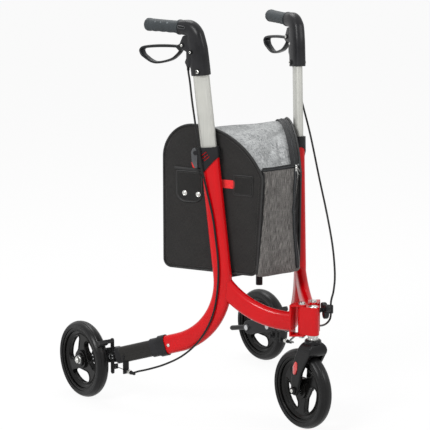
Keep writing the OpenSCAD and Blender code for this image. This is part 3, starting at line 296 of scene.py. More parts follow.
# each finish: its maker, darkest and lightest tone, then roughness and grain, or thread pitch, slubs and roughness
recipes = {
    "redPaint": (glossPaint, (182, 1, 9), (198, 3, 13)),
    "silverTube": (metalSurface, (172, 172, 167), (194, 194, 188), 0.38, (900, 900, 6), 0.5),
    "blackTube": (metalSurface, (28, 27, 26), (40, 39, 37), 0.38, (500, 40, 500), 0.0),
    "brightSteel": (metalSurface, (168, 170, 172), (206, 207, 208), 0.26, (300, 300, 300)),
    "nickel": (metalSurface, (196, 196, 192), (226, 226, 222), 0.22, (200, 200, 200)),
    "gunMetal": (metalSurface, (150, 150, 148), (188, 188, 185), 0.26, (200, 200, 200)),
    "blackSteel": (mouldedPlastic, (26, 26, 27), (44, 44, 45), 0.40, 900.0),
    "blackPlastic": (mouldedPlastic, (22, 22, 24), (38, 38, 40), 0.34),
    "rimPlastic": (mouldedPlastic, (10, 10, 10), (20, 19, 18), 0.22),
    "forkPlastic": (mouldedPlastic, (13, 13, 14), (25, 25, 26), 0.20),
    # dark plastic of the seats and boots; on the elbow's slot this dark tone is painted shade
    "darkPlastic": (mouldedPlastic, (14, 14, 14), (26, 26, 26), 0.4),
    "leverPlastic": (mouldedPlastic, (18, 19, 20), (34, 36, 38), 0.30),
    # a lighter grey than the other plastics: painted highlight on the height lever and on the rim round the elbow's
    # slot
    "lockPlastic": (mouldedPlastic, (66, 67, 69), (94, 95, 97), 0.32),
    "redPlastic": (mouldedPlastic, (196, 34, 34), (222, 50, 46), 0.40),
    "zipCoil": (mouldedPlastic, (38, 39, 40), (64, 66, 68), 0.35, 900.0, 0.0004),
    "tyreRubber": (softRubber, (13, 13, 13), (25, 25, 26), 0.34),
    "gripRubber": (softRubber, (44, 48, 50), (62, 67, 70), 0.55, 1300.0),
    "dotRubber": (softRubber, (92, 97, 100), (120, 125, 128), 0.5),
    "shoeRubber": (softRubber, (30, 30, 30), (46, 46, 46), 0.7),
    "cableCover": (softRubber, (18, 18, 18), (32, 32, 32), 0.36, 500.0),
    # a little lighter than the panel cloth: partly its own tone, partly a painted highlight along the piping and welt
    "bindingCloth": (softRubber, (36, 36, 36), (54, 54, 54), 0.42, 1800.0),
    "thread": (softRubber, (58, 58, 57), (86, 86, 84), 0.7, 2400.0),
    "reflectorLens": (prismLens, (150, 20, 22), (226, 52, 48)),
    "panelCloth": (wovenCloth, (31, 30, 30), (49, 48, 47), 0.0012, (0.0011, 0.007, 0.45)),
    "flapCloth": (wovenCloth, (22, 22, 22), (38, 37, 36), 0.0016, (0.0014, 0.006, 0.42), 0.42),
    "liningCloth": (wovenCloth, (30, 30, 30), (44, 44, 44), 0.0011, (0.001, 0.005, 0.42)),
    # the lid reaches down to a darker tone with a larger cloud share: painted shade, dark smudges for its dents, over
    # its heather tone
    "lidCloth": (wovenCloth, (92, 94, 95), (192, 194, 194), 0.0013, (0.0022, 0.012, 0.45), 0.85, 0.21),
    "pocketCloth": (wovenCloth, (48, 46, 45), (128, 125, 122), 0.0013, (0.0014, 0.020, 0.68)),
    "redWebbing": (wovenCloth, (206, 36, 40), (236, 62, 62), 0.0022, (0.002, 0.006, 0.4), 0.7),
    "zipTape": (wovenCloth, (28, 28, 29), (50, 51, 52), 0.0012, (0.001, 0.004, 0.45), 0.7),
}
finishes = {name: maker(name, srgb(*deep), srgb(*bright), *more).material
            for name, (maker, deep, bright, *more) in recipes.items()}


def turnedRound(groups):
    return {name: key for key, names in groups.items() for name in names.split()}


# the finish of each CAD node
nodeFinish = turnedRound({
    "redPaint": "head_post main_tube front_arm", "silverTube": "inner_tube", "blackTube": "leg_tube",
    "brightSteel": "stem_bearings hinge_bolts caster_stem front_axle bearings wheel_bolts",
    "blackSteel": "cable_stop handle_screws brake_arm brace_link", "rimPlastic": "rim", "forkPlastic": "caster_fork",
    "blackPlastic": "cable_guide collar leg_sleeve wheel_arm housing height_lever brace_peg brake_lever",
    "redPlastic": "height_button", "tyreRubber": "tyre", "gripRubber": "grip", "shoeRubber": "brake_shoe",
    "cableCover": "brake_cable", "reflectorLens": "fork_reflectors", "panelCloth": "bag_panel",
    "lidCloth": "bag_body", "pocketCloth": "bag_pocket"})


def dressNodes():
    for name, piece in nodes.items():
        plain = name
        for lead in ("right_", "left_", "front_"):
            if name.startswith(lead) and name[len(lead):] in nodeFinish:
                plain = name[len(lead):]
        piece.data.materials.clear()
        piece.data.materials.append(finishes[nodeFinish[plain]])


dressNodes()
print("finishes made:", len(finishes))


# places on the part, in millimetres: u behind the hinge, v outside it, z up; s is 1 for the right side
plan = {"splay": np.radians(28.0), "hingeX": 18.0, "hingeY": -287.894, "stemY": -309.894, "frontY": -271.894,
        "rearY": 271.894, "wheelX": 292.976, "tyreR": 100.0,
        "grip": (-155.748, -41.608, 977.502), "gripTurn": np.radians(103.0),
        "mastU": 248.0, "mastOut": 6.0, "mastTop": 687.0, "lean": np.radians(6.7),
        "legU": 331.97, "legZ": 186.07, "legDrop": np.radians(17.9)}
splayCos, splaySin = np.cos(plan["splay"]), np.sin(plan["splay"])


def stack(x, y, z):
    return np.stack(np.broadcast_arrays(x, y, z), -1).astype(float)


def sideSpace(u, v, z, s):
    # the side frame's own plan turned out by the splay, mirrored for the left side
    c, d = splayCos, splaySin
    return stack(-s * (plan["hingeX"] + u * d + v * c), plan["hingeY"] + u * c - v * d, z) * mm


def handleSpace(q, w, h, s):
    # along the grip, outward from it, up from its axis
    x, y, z = plan["grip"]
    c, d = np.cos(plan["gripTurn"]), np.sin(plan["gripTurn"])
    return stack(s * (x + q * c - w * d), y + q * d + w * c, z + h) * mm


def mastSpace(a, b, h, s):
    # behind the mast's axis, outward, and up along it from the main tube's top
    c, d = np.cos(plan["lean"]), np.sin(plan["lean"])
    return sideSpace(plan["mastU"] + a * c + h * d, plan["mastOut"] + b, plan["mastTop"] - a * d + h * c, s)


def legSpace(a, b, h, s):
    # above the leg's axis, outward, and down along it from the end of the bend
    c, d = np.cos(plan["legDrop"]), np.sin(plan["legDrop"])
    return sideSpace(plan["legU"] + h * c + a * d, plan["mastOut"] + b, plan["legZ"] - h * d + a * c, s)


def outward(s):
    return np.array([-s * splayCos, -splaySin, 0.0])


def handleOut(s):
    return unit(handleSpace(0.0, 1.0, 0.0, s) - handleSpace(0.0, 0.0, 0.0, s))


# meshes from whole arrays; sections and profiles are in millimetres, places in metres
mergeFar = 0.00002


def gridFaces(rows, columns, roundRows=False, roundColumns=False):
    # quads of a grid of points, row by row; a round direction joins its end to its start
    i = np.arange(rows if roundRows else rows - 1)[:, None]
    j = np.arange(columns if roundColumns else columns - 1)[None, :]
    a, b = i * columns, ((i + 1) % rows) * columns
    return np.stack([a + j, a + (j + 1) % columns, b + (j + 1) % columns, b + j], -1).reshape(-1, 4).tolist()


def addPiece(name, points, faces, finish, body, uv=None, sharp=40.0, closed=True, node=None):
    # doubles merged, faces turned outwards, smooth apart from its sharp edges; node is the CAD node it replaces
    mesh = bpy.data.meshes.new(name)
    mesh.from_pydata(np.asarray(points, float).reshape(-1, 3).tolist(), [], faces)
    if uv is not None:
        layer = mesh.uv_layers.new(name="cloth")
        corner = np.empty(len(mesh.loops), np.int32)
        mesh.loops.foreach_get("vertex_index", corner)
        layer.data.foreach_set("uv", np.asarray(uv, np.float32).reshape(-1, 2)[corner].ravel())
    shell = bmesh.new()
    shell.from_mesh(mesh)
    bmesh.ops.remove_doubles(shell, verts=shell.verts, dist=mergeFar)
    bmesh.ops.dissolve_degenerate(shell, edges=shell.edges, dist=mergeFar)
    if closed:
        bmesh.ops.recalc_face_normals(shell, faces=shell.faces)
    shell.to_mesh(mesh)
    shell.free()
    return finishPiece(name, mesh, finish, body, node, sharp)


def finishPiece(name, mesh, finish, body, node, sharp=None):
    mesh.polygons.foreach_set("use_smooth", np.ones(len(mesh.polygons), bool))
    if sharp:
        mesh.set_sharp_from_angle(angle=np.radians(sharp))
    mesh.materials.clear()
    mesh.materials.append(finishes[finish])
    piece = place(name, mesh)
    if body:
        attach(piece, body)
    if node:
        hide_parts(node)
    return piece


def thicken(piece, thickness):
    wall = piece.modifiers.new("thickness", "SOLIDIFY")
    wall.thickness, wall.offset = thickness * mm, 0.0


def joined(shapes):
    # several (points, faces) shapes as one
    points, faces, start = [], [], 0
    for p, f in shapes:
        points.append(np.asarray(p, float).reshape(-1, 3))
        faces.extend((np.asarray(q) + start).tolist() for q in f)
        start += len(points[-1])
    return np.concatenate(points), faces


def unit(v):
    return v / np.maximum(np.linalg.norm(v, axis=-1, keepdims=True), 1e-12)


def wholeTurn(count):
    return np.linspace(0, 2 * np.pi, count, endpoint=False)


def walked(points, axis=0):
    # the way walked along the points, from the first one
    step = np.linalg.norm(np.diff(points, axis=axis), axis=-1)
    return np.concatenate([np.zeros_like(np.take(step, [0], axis)), np.cumsum(step, axis=axis)], axis=axis)


def lengthOf(line):
    return float(np.linalg.norm(np.diff(line, axis=0), axis=1).sum())


def spaced(line, count, closed=False):
    # the polyline resampled at equal steps along its length
    line = np.asarray(line, float)
    if closed:
        line = np.concatenate([line, line[:1]])
    far = walked(line)
    at = np.linspace(0.0, far[-1], count + 1)[:-1] if closed else np.linspace(0.0, far[-1], count)
    return np.stack([np.interp(at, far, line[:, k]) for k in range(line.shape[1])], -1)


def smoothLine(knots, steps=12):
    # a curve through the knots: each stretch is the cubic set by its two ends and their neighbours
    p = np.asarray(knots, float)
    a, b, c, d = p[[0, *range(len(p) - 2)]], p[:-1], p[1:], p[[*range(2, len(p)), -1]]
    t = (np.arange(steps) / steps)[None, :, None]
    a, b, c, d = (k[:, None, :] for k in (a, b, c, d))
    curve = 0.5 * (2 * b + (c - a) * t + (2 * a - 5 * b + 4 * c - d) * t ** 2 + (3 * b - 3 * c + d - a) * t ** 3)
    return np.concatenate([curve.reshape(-1, p.shape[1]), p[-1:]])


def sweep(path, section, up, closed=False, scale=1.0):
    # (across, up) points, one section or one for each step, carried along the path square to it and level with up
    path = np.asarray(path, float)
    way = unit(np.roll(path, -1, 0) - np.roll(path, 1, 0) if closed else np.gradient(path, axis=0))
    across = unit(np.cross(way, np.asarray(up, float)))
    rise = np.cross(across, way)
    section = section.reshape(-1, *section.shape[-2:]) * np.reshape(scale, (-1, 1, 1))
    points = path[:, None] + section[..., :1] * across[:, None] + section[..., 1:] * rise[:, None]
    rows, columns = points.shape[:2]
    faces = gridFaces(rows, columns, closed, True)
    if not closed:
        faces += [list(range(columns)), list(range((rows - 1) * columns, rows * columns))]
    return points.reshape(-1, 3), faces


def circle(radius, count, high=None):
    # a ring of points: the cosine times the radius, the sine times the height
    a = wholeTurn(count)
    return np.stack([radius * mm * np.cos(a), (high or radius) * mm * np.sin(a)], -1)


def squared(v, power):
    # the size raised to the power, with the sign kept
    return np.sign(v) * np.abs(v) ** power


def squareTo(axis):
    # the axis and two directions square to it
    axis = unit(np.asarray(axis, float))
    first = unit(np.cross(axis, (0.31, 0.17, 0.94)))
    return axis, first, np.cross(axis, first)


def turned(profile, centre, axis, count, ring=False):
    # the (radius, height) profile turned about the axis; a ring's profile closes on itself
    axis, first, second = squareTo(axis)
    a = wholeTurn(count)[None, :, None]
    r, h = ((np.array(profile, float) * mm)[:, None, k, None] for k in (0, 1))
    points = np.asarray(centre, float) + r * (np.cos(a) * first + np.sin(a) * second) + h * axis
    return points.reshape(-1, 3), gridFaces(len(profile), count, ring, True)


def hexNut(radius, height, centre, axis, dome):
    # a six-sided nut with eased corners and a low dome: the ring's radius swells to the corners by 1 / cos
    a = wholeTurn(48)
    corner = 1 / np.cos((a + np.pi / 6) % (np.pi / 3) - np.pi / 6)
    share = np.array([0, 0, 1, 1, 0.35, 0, 0, 0])[:, None]
    r = np.array([1.2, 1.2, 1.0, 1.0, 1.02, 0.8, 0.5, 0.0])[:, None] * (1 + share * (corner - 1))
    h = np.array([0.0, 0.15, 0.16, 0.82, 0.95, 1.0, 1.0 + dome * 0.75, 1.0 + dome])[:, None]
    axis, first, second = squareTo(axis)
    points = np.asarray(centre, float) + radius * mm * r[..., None] * (
        np.cos(a)[:, None] * first + np.sin(a)[:, None] * second) + (height * mm * h)[..., None] * axis
    return points.reshape(-1, 3), gridFaces(8, 48, False, True) + [list(range(48))]


def screwHead(radius, height, centre, axis):
    # a round head with eased rim and a sunk socket
    r = np.array([1.0, 1.0, 0.92, 0.78, 0.5, 0.45, 0.43, 0.0]) * radius
    h = np.array([-0.4, 0.62, 0.88, 1.0, 1.0, 0.9, 0.35, 0.35]) * height
    return turned(np.stack([r, h], -1), centre, axis, 30)


def seatRing(radius, height, centre, axis):
    # a low moulded ring round a screw
    r = np.array([1.0, 1.38, 1.46, 1.4, 1.2, 1.06, 1.0]) * radius
    h = np.array([-0.5, -0.5, 0.2, 0.8, 1.0, 0.8, 0.2]) * height
    return turned(np.stack([r, h], -1), centre, axis, 36, True)


def hullOutline(circles, count=80):
    # the outline round several (place, radius) circles: in each direction the circle that reaches farthest
    a = wholeTurn(count)
    way = np.stack([np.cos(a), np.sin(a)], -1)
    spots, radii = np.array(circles)[:, :2], np.array(circles)[:, 2]
    best = np.argmax(way @ spots.T + radii[None], axis=1)
    return spots[best] + radii[best][:, None] * way


def slab(outline, low, high, ease, space, s):
    # a plate with eased rims: the outline drawn in towards its middle at both faces, then closed to a point
    middle = outline.mean(axis=0)
    reach = np.linalg.norm(outline - middle, axis=1).mean()
    inset = np.array([reach, ease, 0.3 * ease, 0.0, 0.0, 0.3 * ease, ease, reach]) / reach
    w = np.array([low, low, low + 0.3 * ease, low + ease, high - ease, high - 0.3 * ease, high, high])
    flat = middle + (1 - inset)[:, None, None] * (outline - middle)
    return space(flat[..., 0], w[:, None], flat[..., 1], s), gridFaces(8, len(outline), False, True)


def stitches(line, normal, pitch, long, radius):
    # a short rounded bar at each step along the line: a flat ring pulled out along the thread
    count = max(int(lengthOf(line) / (pitch * mm)), 2)
    at = spaced(line, count)
    way = unit(np.gradient(at, axis=0))
    across = unit(np.cross(way, np.broadcast_to(normal, at.shape)))
    rise = np.cross(across, way)
    t = np.array([-1.0, -0.6, 0.6, 1.0])[None, :, None, None] * long * mm / 2
    r = (np.array([0.25, 1.0, 1.0, 0.25]) * radius * mm)[None, :, None, None]
    a = wholeTurn(6)[None, None, :, None]
    at, way, across, rise = (k[:, None, None] for k in (at, way, across, rise))
    points = at + t * way + r * (np.cos(a) * across + np.sin(a) * rise)
    one = np.array(gridFaces(4, 6, False, True))
    return points.reshape(-1, 3), (one[None] + 24 * np.arange(count)[:, None, None]).reshape(-1, 4).tolist()


def drape(points, faces, pinned, settings):
    # Blender's Cloth on a plain copy: pinned points stay, the slack rest sags, no point goes further than the cap
    rest = np.asarray(points, float).reshape(-1, 3)
    scene = bpy.context.scene
    mesh = bpy.data.meshes.new("drape")
    mesh.from_pydata(rest.tolist(), [], faces)
    cloth = place("drape", mesh)
    group = cloth.vertex_groups.new(name="pinned")
    group.add([int(k) for k in pinned], 1.0, "REPLACE")
    modifier = cloth.modifiers.new("drape", "CLOTH")
    cut = modifier.settings
    cut.quality, cut.mass, cut.air_damping = 6, drapes["mass"], 2.0
    cut.tension_stiffness = cut.compression_stiffness = drapes["stiff"]
    cut.shear_stiffness, cut.bending_stiffness = drapes["stiff"] / 3, settings["bend"]
    cut.shrink_min = -settings["slack"]
    cut.vertex_group_mass = "pinned"
    modifier.point_cache.frame_start, modifier.point_cache.frame_end = 1, settings["frames"]
    for f in range(1, settings["frames"] + 1):
        scene.frame_set(f)
    seen = cloth.evaluated_get(bpy.context.evaluated_depsgraph_get()).data
    moved = np.empty(len(seen.vertices) * 3, np.float32)
    seen.vertices.foreach_get("co", moved)
    bpy.data.objects.remove(cloth)
    scene.frame_set(1)
    step = moved.reshape(-1, 3).astype(float) - rest
    far = np.linalg.norm(step, axis=1, keepdims=True)
    cap = settings["cap"] * mm
    return rest + step * (cap * np.tanh(far / cap) / np.maximum(far, 1e-9))


# brake cables: the CAD's own routes, as shares of the way between outlet, eye and stop
cable = {"radius": 2.5, "lead": 5.0, "outlet": (307.23, -0.73, 884.5), "stop": (461.0, 22.2, 94.2),
         "eye": (-19.1, 39.6, 305.5), "eyeRise": 16.0,
         "right": [(-0.01, 0.07, 0.022), (-0.047, 0.25, 0.048), (-0.112, 0.6, 0.107), (-0.196, 0.9, 0.182),
                   (-0.268, 1.12, 0.249), (-0.333, 1.21, 0.317), (-0.404, 1.13, 0.376), (-0.508, 1.08, 0.461),
                   (-0.567, 1.08, 0.538), (-0.606, 1.08, 0.607), (-0.6, 1.08, 0.678), (-0.534, 1.08, 0.759),
                   (-0.398, 1.08, 0.823), (-0.203, 1.05, 0.877), (0.07, 1.03, 0.924), (0.376, 1.13, 0.957),
                   (0.655, 1.28, 0.978), (0.824, 1.4, 0.988)],
         "leftUpper": [(0.005, 0.12, 0.061), (0.019, 0.39, 0.141), (0.065, 0.66, 0.228), (0.169, 0.98, 0.351),
                       (0.319, 1.31, 0.525), (0.482, 1.55, 0.669), (0.647, 1.66, 0.797), (0.807, 1.55, 0.9),
                       (0.929, 1.28, 0.955), (0.984, 1.07, 0.983)],
         "leftLower": [(0.013, 0.09, 0.064), (0.056, 0.32, 0.14), (0.123, 0.61, 0.207), (0.248, 1.01, 0.289),
                       (0.402, 1.59, 0.417), (0.606, 1.93, 0.662), (0.806, 1.6, 0.857), (0.94, 0.45, 0.975)],
         "slideEnd": 430.0, "foldEnd": 210.0}


def cableRoutes():
    # straight leads at both ends, and between them the route's shares of the way
    outlet, stop, eye = (np.array(cable[k]) for k in ("outlet", "stop", "eye"))
    rise = np.array([0, 0, cable["lead"]])
    lead = cable["lead"] * np.array([splayCos, -splaySin, 0])
    eyeRise = np.array([0, 0, cable["eyeRise"]])
    first, last = [outlet + rise, outlet - rise], [stop - lead, stop + lead]
    way = lambda a, b, name: a + np.array(cable[name]) * (b - a)
    right = np.vstack([*first, way(outlet, stop, "right"), *last])
    left = np.vstack([*first, way(outlet, eye + eyeRise, "leftUpper"), eye + eyeRise, eye, eye - eyeRise,
                      way(eye - eyeRise, stop, "leftLower"), *last])
    return smoothLine(right, 4), smoothLine(left, 4)


def makeCable(name, line, node=None):
    # a round tube along its stretch of the line
    piece = addPiece(name, *sweep(line, circle(cable["radius"], 12), sideways), "cableCover", None)
    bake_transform(piece)
    if node:
        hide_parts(node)


def makeCables():
    nearest = lambda values, wanted: int(np.argmin(np.abs(values - wanted)))
    right, left = cableRoutes()
    low = nearest(right[:len(right) // 2, 2], cable["slideEnd"])
    line = sideSpace(*right.T, 1)
    makeCable("rightBrakeCable", line, "right_brake_cable")
    mid = nearest(left[:, 2], plan["mastTop"])
    eye = int(np.argmin(np.linalg.norm(left - np.array(cable["eye"]), axis=1)))
    away = eye + nearest(left[eye:, 0], cable["foldEnd"])
    line = sideSpace(*left.T, -1)
    makeCable("leftCableUpper", line[:mid + 1], "left_brake_cable")
    makeCable("leftCableMiddle", line[mid:eye + 1])
    makeCable("leftCableLower", line[eye:])


makeCables()
print("cables laid")


# bag: side panels on the frames, lid, walls and pocket between them; curves are (u, z, radius), boxes (u, u, z, z)
bag = {"front": 117.0, "rear": 382.0, "foot": 375.0, "top": 736.0, "corner": 19.0,
       "frontCurve": (288.0, 552.0, 184.0), "rearCurve": (299.0, 653.0, 83.0), "middle": (250.0, 545.0),
       "panelV": -13.5, "panelHalf": 2.1, "wave": 0.55, "piping": 2.7, "inset": 3.0, "edgeV": -14.5, "cloth": 1.4,
       "keep": 0.285, "seam": 636.0, "rearSeam": 640.0, "hem": 8.0, "hemStitch": (4.2, 2.9, 0.42),
       "stitch": (3.4, 2.3, 0.36), "settle": (620.0, 116.0, 130.0, 2.2, 5.2),
       "lean": (608.0, 214.0, -5.0, 13.0, 120.0), "lidGrid": (96, 72), "wallGrid": (104, 44)}
flap = {"box": (275.0, 345.0, 546.0, 622.0), "round": (24.0, 5.0), "rise": 3.4, "cord": 2.1,
        "seam": (20.0, 3.0), "welt": (268.0, 351.0, 628.0), "snaps": ((321.6, 567.0), (284.0, 566.0)),
        "snap": [(0, 2.6), (2.6, 2.5), (4.2, 1.7), (4.7, 0.8), (5.4, 1.3), (6.3, 1.2), (6.8, 0.4), (6.8, -0.8)]}
strap = {"from": 188.0, "to": 268.0, "z": 598.0, "width": 21.0, "thick": 1.7}
patch = {"box": (141.0, 191.0, 573.0, 622.0), "round": (4.0, 4.0), "rise": 2.6, "cord": 1.3, "seam": (2.0, 2.0)}
# each crease of the lid: place across and along, turn, length, width, depth
lidDents = [(0.35, 0.16, 60.0, 0.30, 0.035, -4.2), (-0.2, 0.30, -35.0, 0.35, 0.045, -4.0),
            (0.5, 0.34, 20.0, 0.3, 0.035, -3.8), (-0.45, 0.12, 80.0, 0.3, 0.04, 2.8),
            (0.0, 0.5, 10.0, 0.4, 0.045, -3.6), (0.2, 0.05, 5.0, 0.4, 0.025, -3.0),
            (0.15, 0.24, -60.0, 0.22, 0.03, -3.2), (-0.1, 0.13, 25.0, 0.25, 0.03, -2.6)]
drapes = {"mass": 0.3, "stiff": 14.0, "lid": {"bend": 0.6, "slack": 0.014, "frames": 32, "cap": 6.5},
          "wall": {"bend": 0.8, "slack": 0.008, "frames": 24, "cap": 2.6},
          "pocket": {"bend": 0.5, "slack": 0.02, "frames": 32, "cap": 5.0}}
zips = {"lidBand": 26.0, "lidPlace": 15.0, "sideBand": 9.0, "frontBand": 12.0, "thick": 1.6, "frontThick": 2.2,
        "coil": 1.4, "tooth": 3.0, "frontZ": 637.5, "pull": 21.0}
pocket = {"half": 57.0, "waist": (2.0, 11.0), "square": 0.30, "rows": 84, "columns": 80, "fold": 23.0,
          "foldDeep": 3.4, "flare": 8.0, "sag": 5.0, "piping": 2.2,
          "profile": [(-4.0, 633.0), (1.0, 630.0), (6.0, 610.0), (8.5, 562.0), (11.0, 506.0), (14.5, 449.0),
                      (16.5, 411.0), (15.5, 392.0), (10.0, 381.0), (1.0, 378.5)]}


def arcLine(u, z, radius, start, end, count=40):
    # points of a circle from one angle to another, in degrees
    a = np.radians(np.linspace(start, end, count))
    return np.stack([u + radius * np.cos(a), z + radius * np.sin(a)], -1)


def curveEnd(inset):
    # where the front curve runs into the front edge
    u, z, r = bag["frontCurve"]
    return np.degrees(np.arccos((bag["front"] + inset - u) / (r - inset)))


def seamAngle(inset):
    # where the front curve reaches the height of the pocket's zip
    u, z, r = bag["frontCurve"]
    return 180.0 - np.degrees(np.arcsin((bag["seam"] - z) / (r - inset)))


def lidCurve(inset, start):
    # the panel's upper edge from its front over the top to its rear
    (u, z, r), (p, q, k) = bag["frontCurve"], bag["rearCurve"]
    return np.vstack([arcLine(u, z, r - inset, start, 90), arcLine(p, q, k - inset, 90, 0)])


def footCurve(inset):
    # the lower edge, from the rear round both corners to the front
    c, r = bag["corner"], bag["corner"] - inset
    return np.vstack([arcLine(bag["rear"] - c, bag["foot"] + c, r, 0, -90),
                      arcLine(bag["front"] + c, bag["foot"] + c, r, -90, -180)])


def bagRing(inset, count):
    return spaced(np.vstack([lidCurve(inset, curveEnd(inset)), footCurve(inset)]), count, True)


def roundedBox(box, radii, inset=0.0):
    # a box outline with its own lower and upper corner radii
    (u0, u1, z0, z1), (low, high) = np.add(box, (inset, -inset, inset, -inset)), radii
    corners = [arcLine(u1 - low, z0 + low, low, 0, -90, 14), arcLine(u0 + low, z0 + low, low, -90, -180, 14),
               arcLine(u0 + high, z1 - high, high, 180, 90, 8), arcLine(u1 - high, z1 - high, high, 90, 0, 8)]
    return spaced(np.vstack(corners), 120, True)


def liftOf(line):
    # square to the cloth's line and away from the bag
    flat = unit(np.gradient(line, axis=0))
    return unit(stack(0 * flat[:, 0], -flat[:, 1], flat[:, 0] * splayCos))


def dentsOf(rows, columns):
    # slow waves and a few straight creases of bell section, fading out at the edges; millimetres along the lift
    p, q = np.linspace(-1, 1, columns)[None, :], np.linspace(0, 1, rows)[:, None]
    deep = 1.8 * np.sin(3.1 * p + 9 * q) + 1.4 * np.sin(6 * p - 17 * q + 1)
    for across, along, turn, long, wide, depth in lidDents:
        a = np.radians(turn)
        x, y = p - across, 2 * (q - along)
        far, off = x * np.cos(a) + y * np.sin(a), y * np.cos(a) - x * np.sin(a)
        deep = deep + 1.5 * depth * np.exp(-(far / long) ** 2 - (off / (2 * wide)) ** 2)
    return deep * (1 - p ** 6) * (1 - (2 * q - 1) ** 8)


def settle(piece):
    # the bag hangs to its left, more with the height above the zip, and its front draws back towards the foot
    low, span, half, drop, tilt = bag["settle"]
    high, long, forward, back, fade = bag["lean"]
    flat = np.empty(3 * len(piece.data.vertices))
    piece.data.vertices.foreach_get("co", flat)
    points = flat.reshape(-1, 3)
    share = np.clip((points[:, 2] / mm - low) / span, 0, 1)
    u = (points[:, 1] / mm - plan["hingeY"] + bag["edgeV"] * splaySin) / splayCos
    step = forward + back * np.clip((high - points[:, 2] / mm) / long, 0, 1)
    step = step * np.clip(1 - (u - bag["front"]) / fade, 0, 1)
    points[:, 1] += step * splayCos * mm
    points[:, 0] *= 1 + step * splaySin / bagRow(np.maximum(u, bag["front"]), 0.0)[0]
    points[:, 2] -= share * (drop + tilt * np.clip(points[:, 0] / mm / half, -1, 1)) * mm
    piece.data.vertices.foreach_set("co", flat)
    piece.data.update()
    return piece


def crumple(piece):
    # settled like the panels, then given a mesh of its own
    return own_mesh(settle(piece))


def pillow(ring, middle, base, front, back, s, rows, power=8.0):
    # a closed pad: rings shrink to the middle, and each face swells by the root of (1 - share ** power)
    share = np.sin(np.linspace(0, np.pi / 2, rows))[:, None]
    flat = np.asarray(middle) + share[..., None] * (ring - np.asarray(middle))
    swell = np.sqrt(np.clip(1 - share ** power, 0, 1))
    u, z = flat[..., 0], flat[..., 1]
    face = sideSpace(u, base + front(u, z, share) * swell, z, s)
    rear = sideSpace(u, base - back(u, z, share) * swell, z, s)
    points = np.concatenate([face, rear[-2::-1]])
    uv = np.concatenate([flat, flat[-2::-1]]) * mm
    return points, gridFaces(2 * rows - 1, len(ring), False, True), uv


def bandSection(width, thick):
    # a flat oval: a circle's points pushed out to a rounded oblong
    a = wholeTurn(20)
    return np.stack([width / 2 * squared(np.cos(a), 0.35), thick / 2 * squared(np.sin(a), 0.8)], -1) * mm


def makeBand(name, path, up, width, thick, finish, body):
    # its UV is the way round the section and along the path
    section = bandSection(width, thick)
    uv = np.stack(np.broadcast_arrays(walked(section)[None, :], walked(path)[:, None]), -1)
    return addPiece(name, *sweep(path, section, up), finish, body, uv)


def panelWave(u, z, share):
    # two slow waves of the cloth, still at the edge
    return bag["wave"] * (np.sin(u / 37 + z / 61) + 0.7 * np.sin(u / 21 - z / 44 + 1.3)) * (1 - share ** 4)


def makePanel(side, s):
    body, out = f"{side}_frame", outward(s)
    face = bag["panelV"] + bag["panelHalf"]
    onFace = lambda ring, rise: sideSpace(ring[:, 0], face + rise, ring[:, 1], s)
    cord = lambda ring, rise, radius, count: sweep(onFace(ring, rise), circle(radius, count), out, True)
    middleOf = lambda box: (0.5 * (box[0] + box[1]), 0.5 * (box[2] + box[3]))
    flush = lambda u, z, share: 0.8 + 0 * u

    ring = bagRing(1.0, 220)
    wide = lambda u, z, share: bag["panelHalf"] + panelWave(u, z, share)
    thin = lambda u, z, share: bag["panelHalf"] - panelWave(u, z, share)
    points, faces, uv = pillow(ring, bag["middle"], bag["panelV"], wide, thin, s, 18)
    panel = settle(addPiece(f"{side}BagPanel", points, faces, "panelCloth", body, uv, node=f"{side}_bag_panel"))
    settle(addPiece(f"{side}PanelPiping", *cord(bagRing(0.2, 260), -1.2, bag["piping"], 9), "bindingCloth", body))

    # phone flap with its cord, welt and snaps
    ring = roundedBox(flap["box"], flap["round"])
    puff = lambda u, z, share: flap["rise"] + 0.5 * np.sin(u / 9.0) * np.cos(z / 13.0) * (1 - share ** 3)
    points, faces, uv = pillow(ring, middleOf(flap["box"]), face, puff, flush, s, 12)
    addPiece(f"{side}PhoneFlap", points, faces, "flapCloth", body, uv)
    low, high, z = flap["welt"]
    u = np.linspace(low, high, 30)
    welt = sweep(sideSpace(u, face + 0.8, z + 0.6 * np.sin(u / 17), s), bandSection(7.0, 4.8), out)
    addPiece(f"{side}FlapBinding", *joined([cord(ring, 0.9, flap["cord"], 8), welt]), "bindingCloth", body)
    snaps = [turned(flap["snap"], sideSpace(u, face + flap["rise"], z, s), out, 28) for u, z in flap["snaps"]]
    addPiece(f"{side}Snaps", *joined(snaps), "nickel", body, sharp=60)

    # red strap with its patch
    u = np.linspace(strap["from"], strap["to"], 40)
    line = sideSpace(u, face + 0.9 + 0.3 * np.sin(u / 14), strap["z"] + 0 * u, s)
    settle(makeBand(f"{side}Strap", line, out, strap["width"], strap["thick"], "redWebbing", body))
    ring = roundedBox(patch["box"], patch["round"])
    puff = lambda u, z, share: patch["rise"] + 0.3 * np.sin(u / 6.0 + z / 11.0) * (1 - share ** 3)
    points, faces, uv = pillow(ring, middleOf(patch["box"]), face, puff, flush, s, 10, 12.0)
    settle(addPiece(f"{side}StrapPatch", points, faces, "flapCloth", body, uv))
    settle(addPiece(f"{side}PatchBinding", *cord(ring, 1.0, patch["cord"], 8), "bindingCloth", body))

    hem = bagRing(bag["hem"], 300)
    rows = [stitches(onFace(roundedBox(k["box"], k["seam"], 4), k["rise"] + rise), out, *bag["stitch"])
            for k, rise in ((flap, 0.25), (patch, 0.2))]
    rows.append(stitches(onFace(hem, -0.1 + panelWave(*hem.T, 0.93)), out, *bag["hemStitch"]))
    settle(addPiece(f"{side}PanelStitches", *joined(rows), "thread", body))


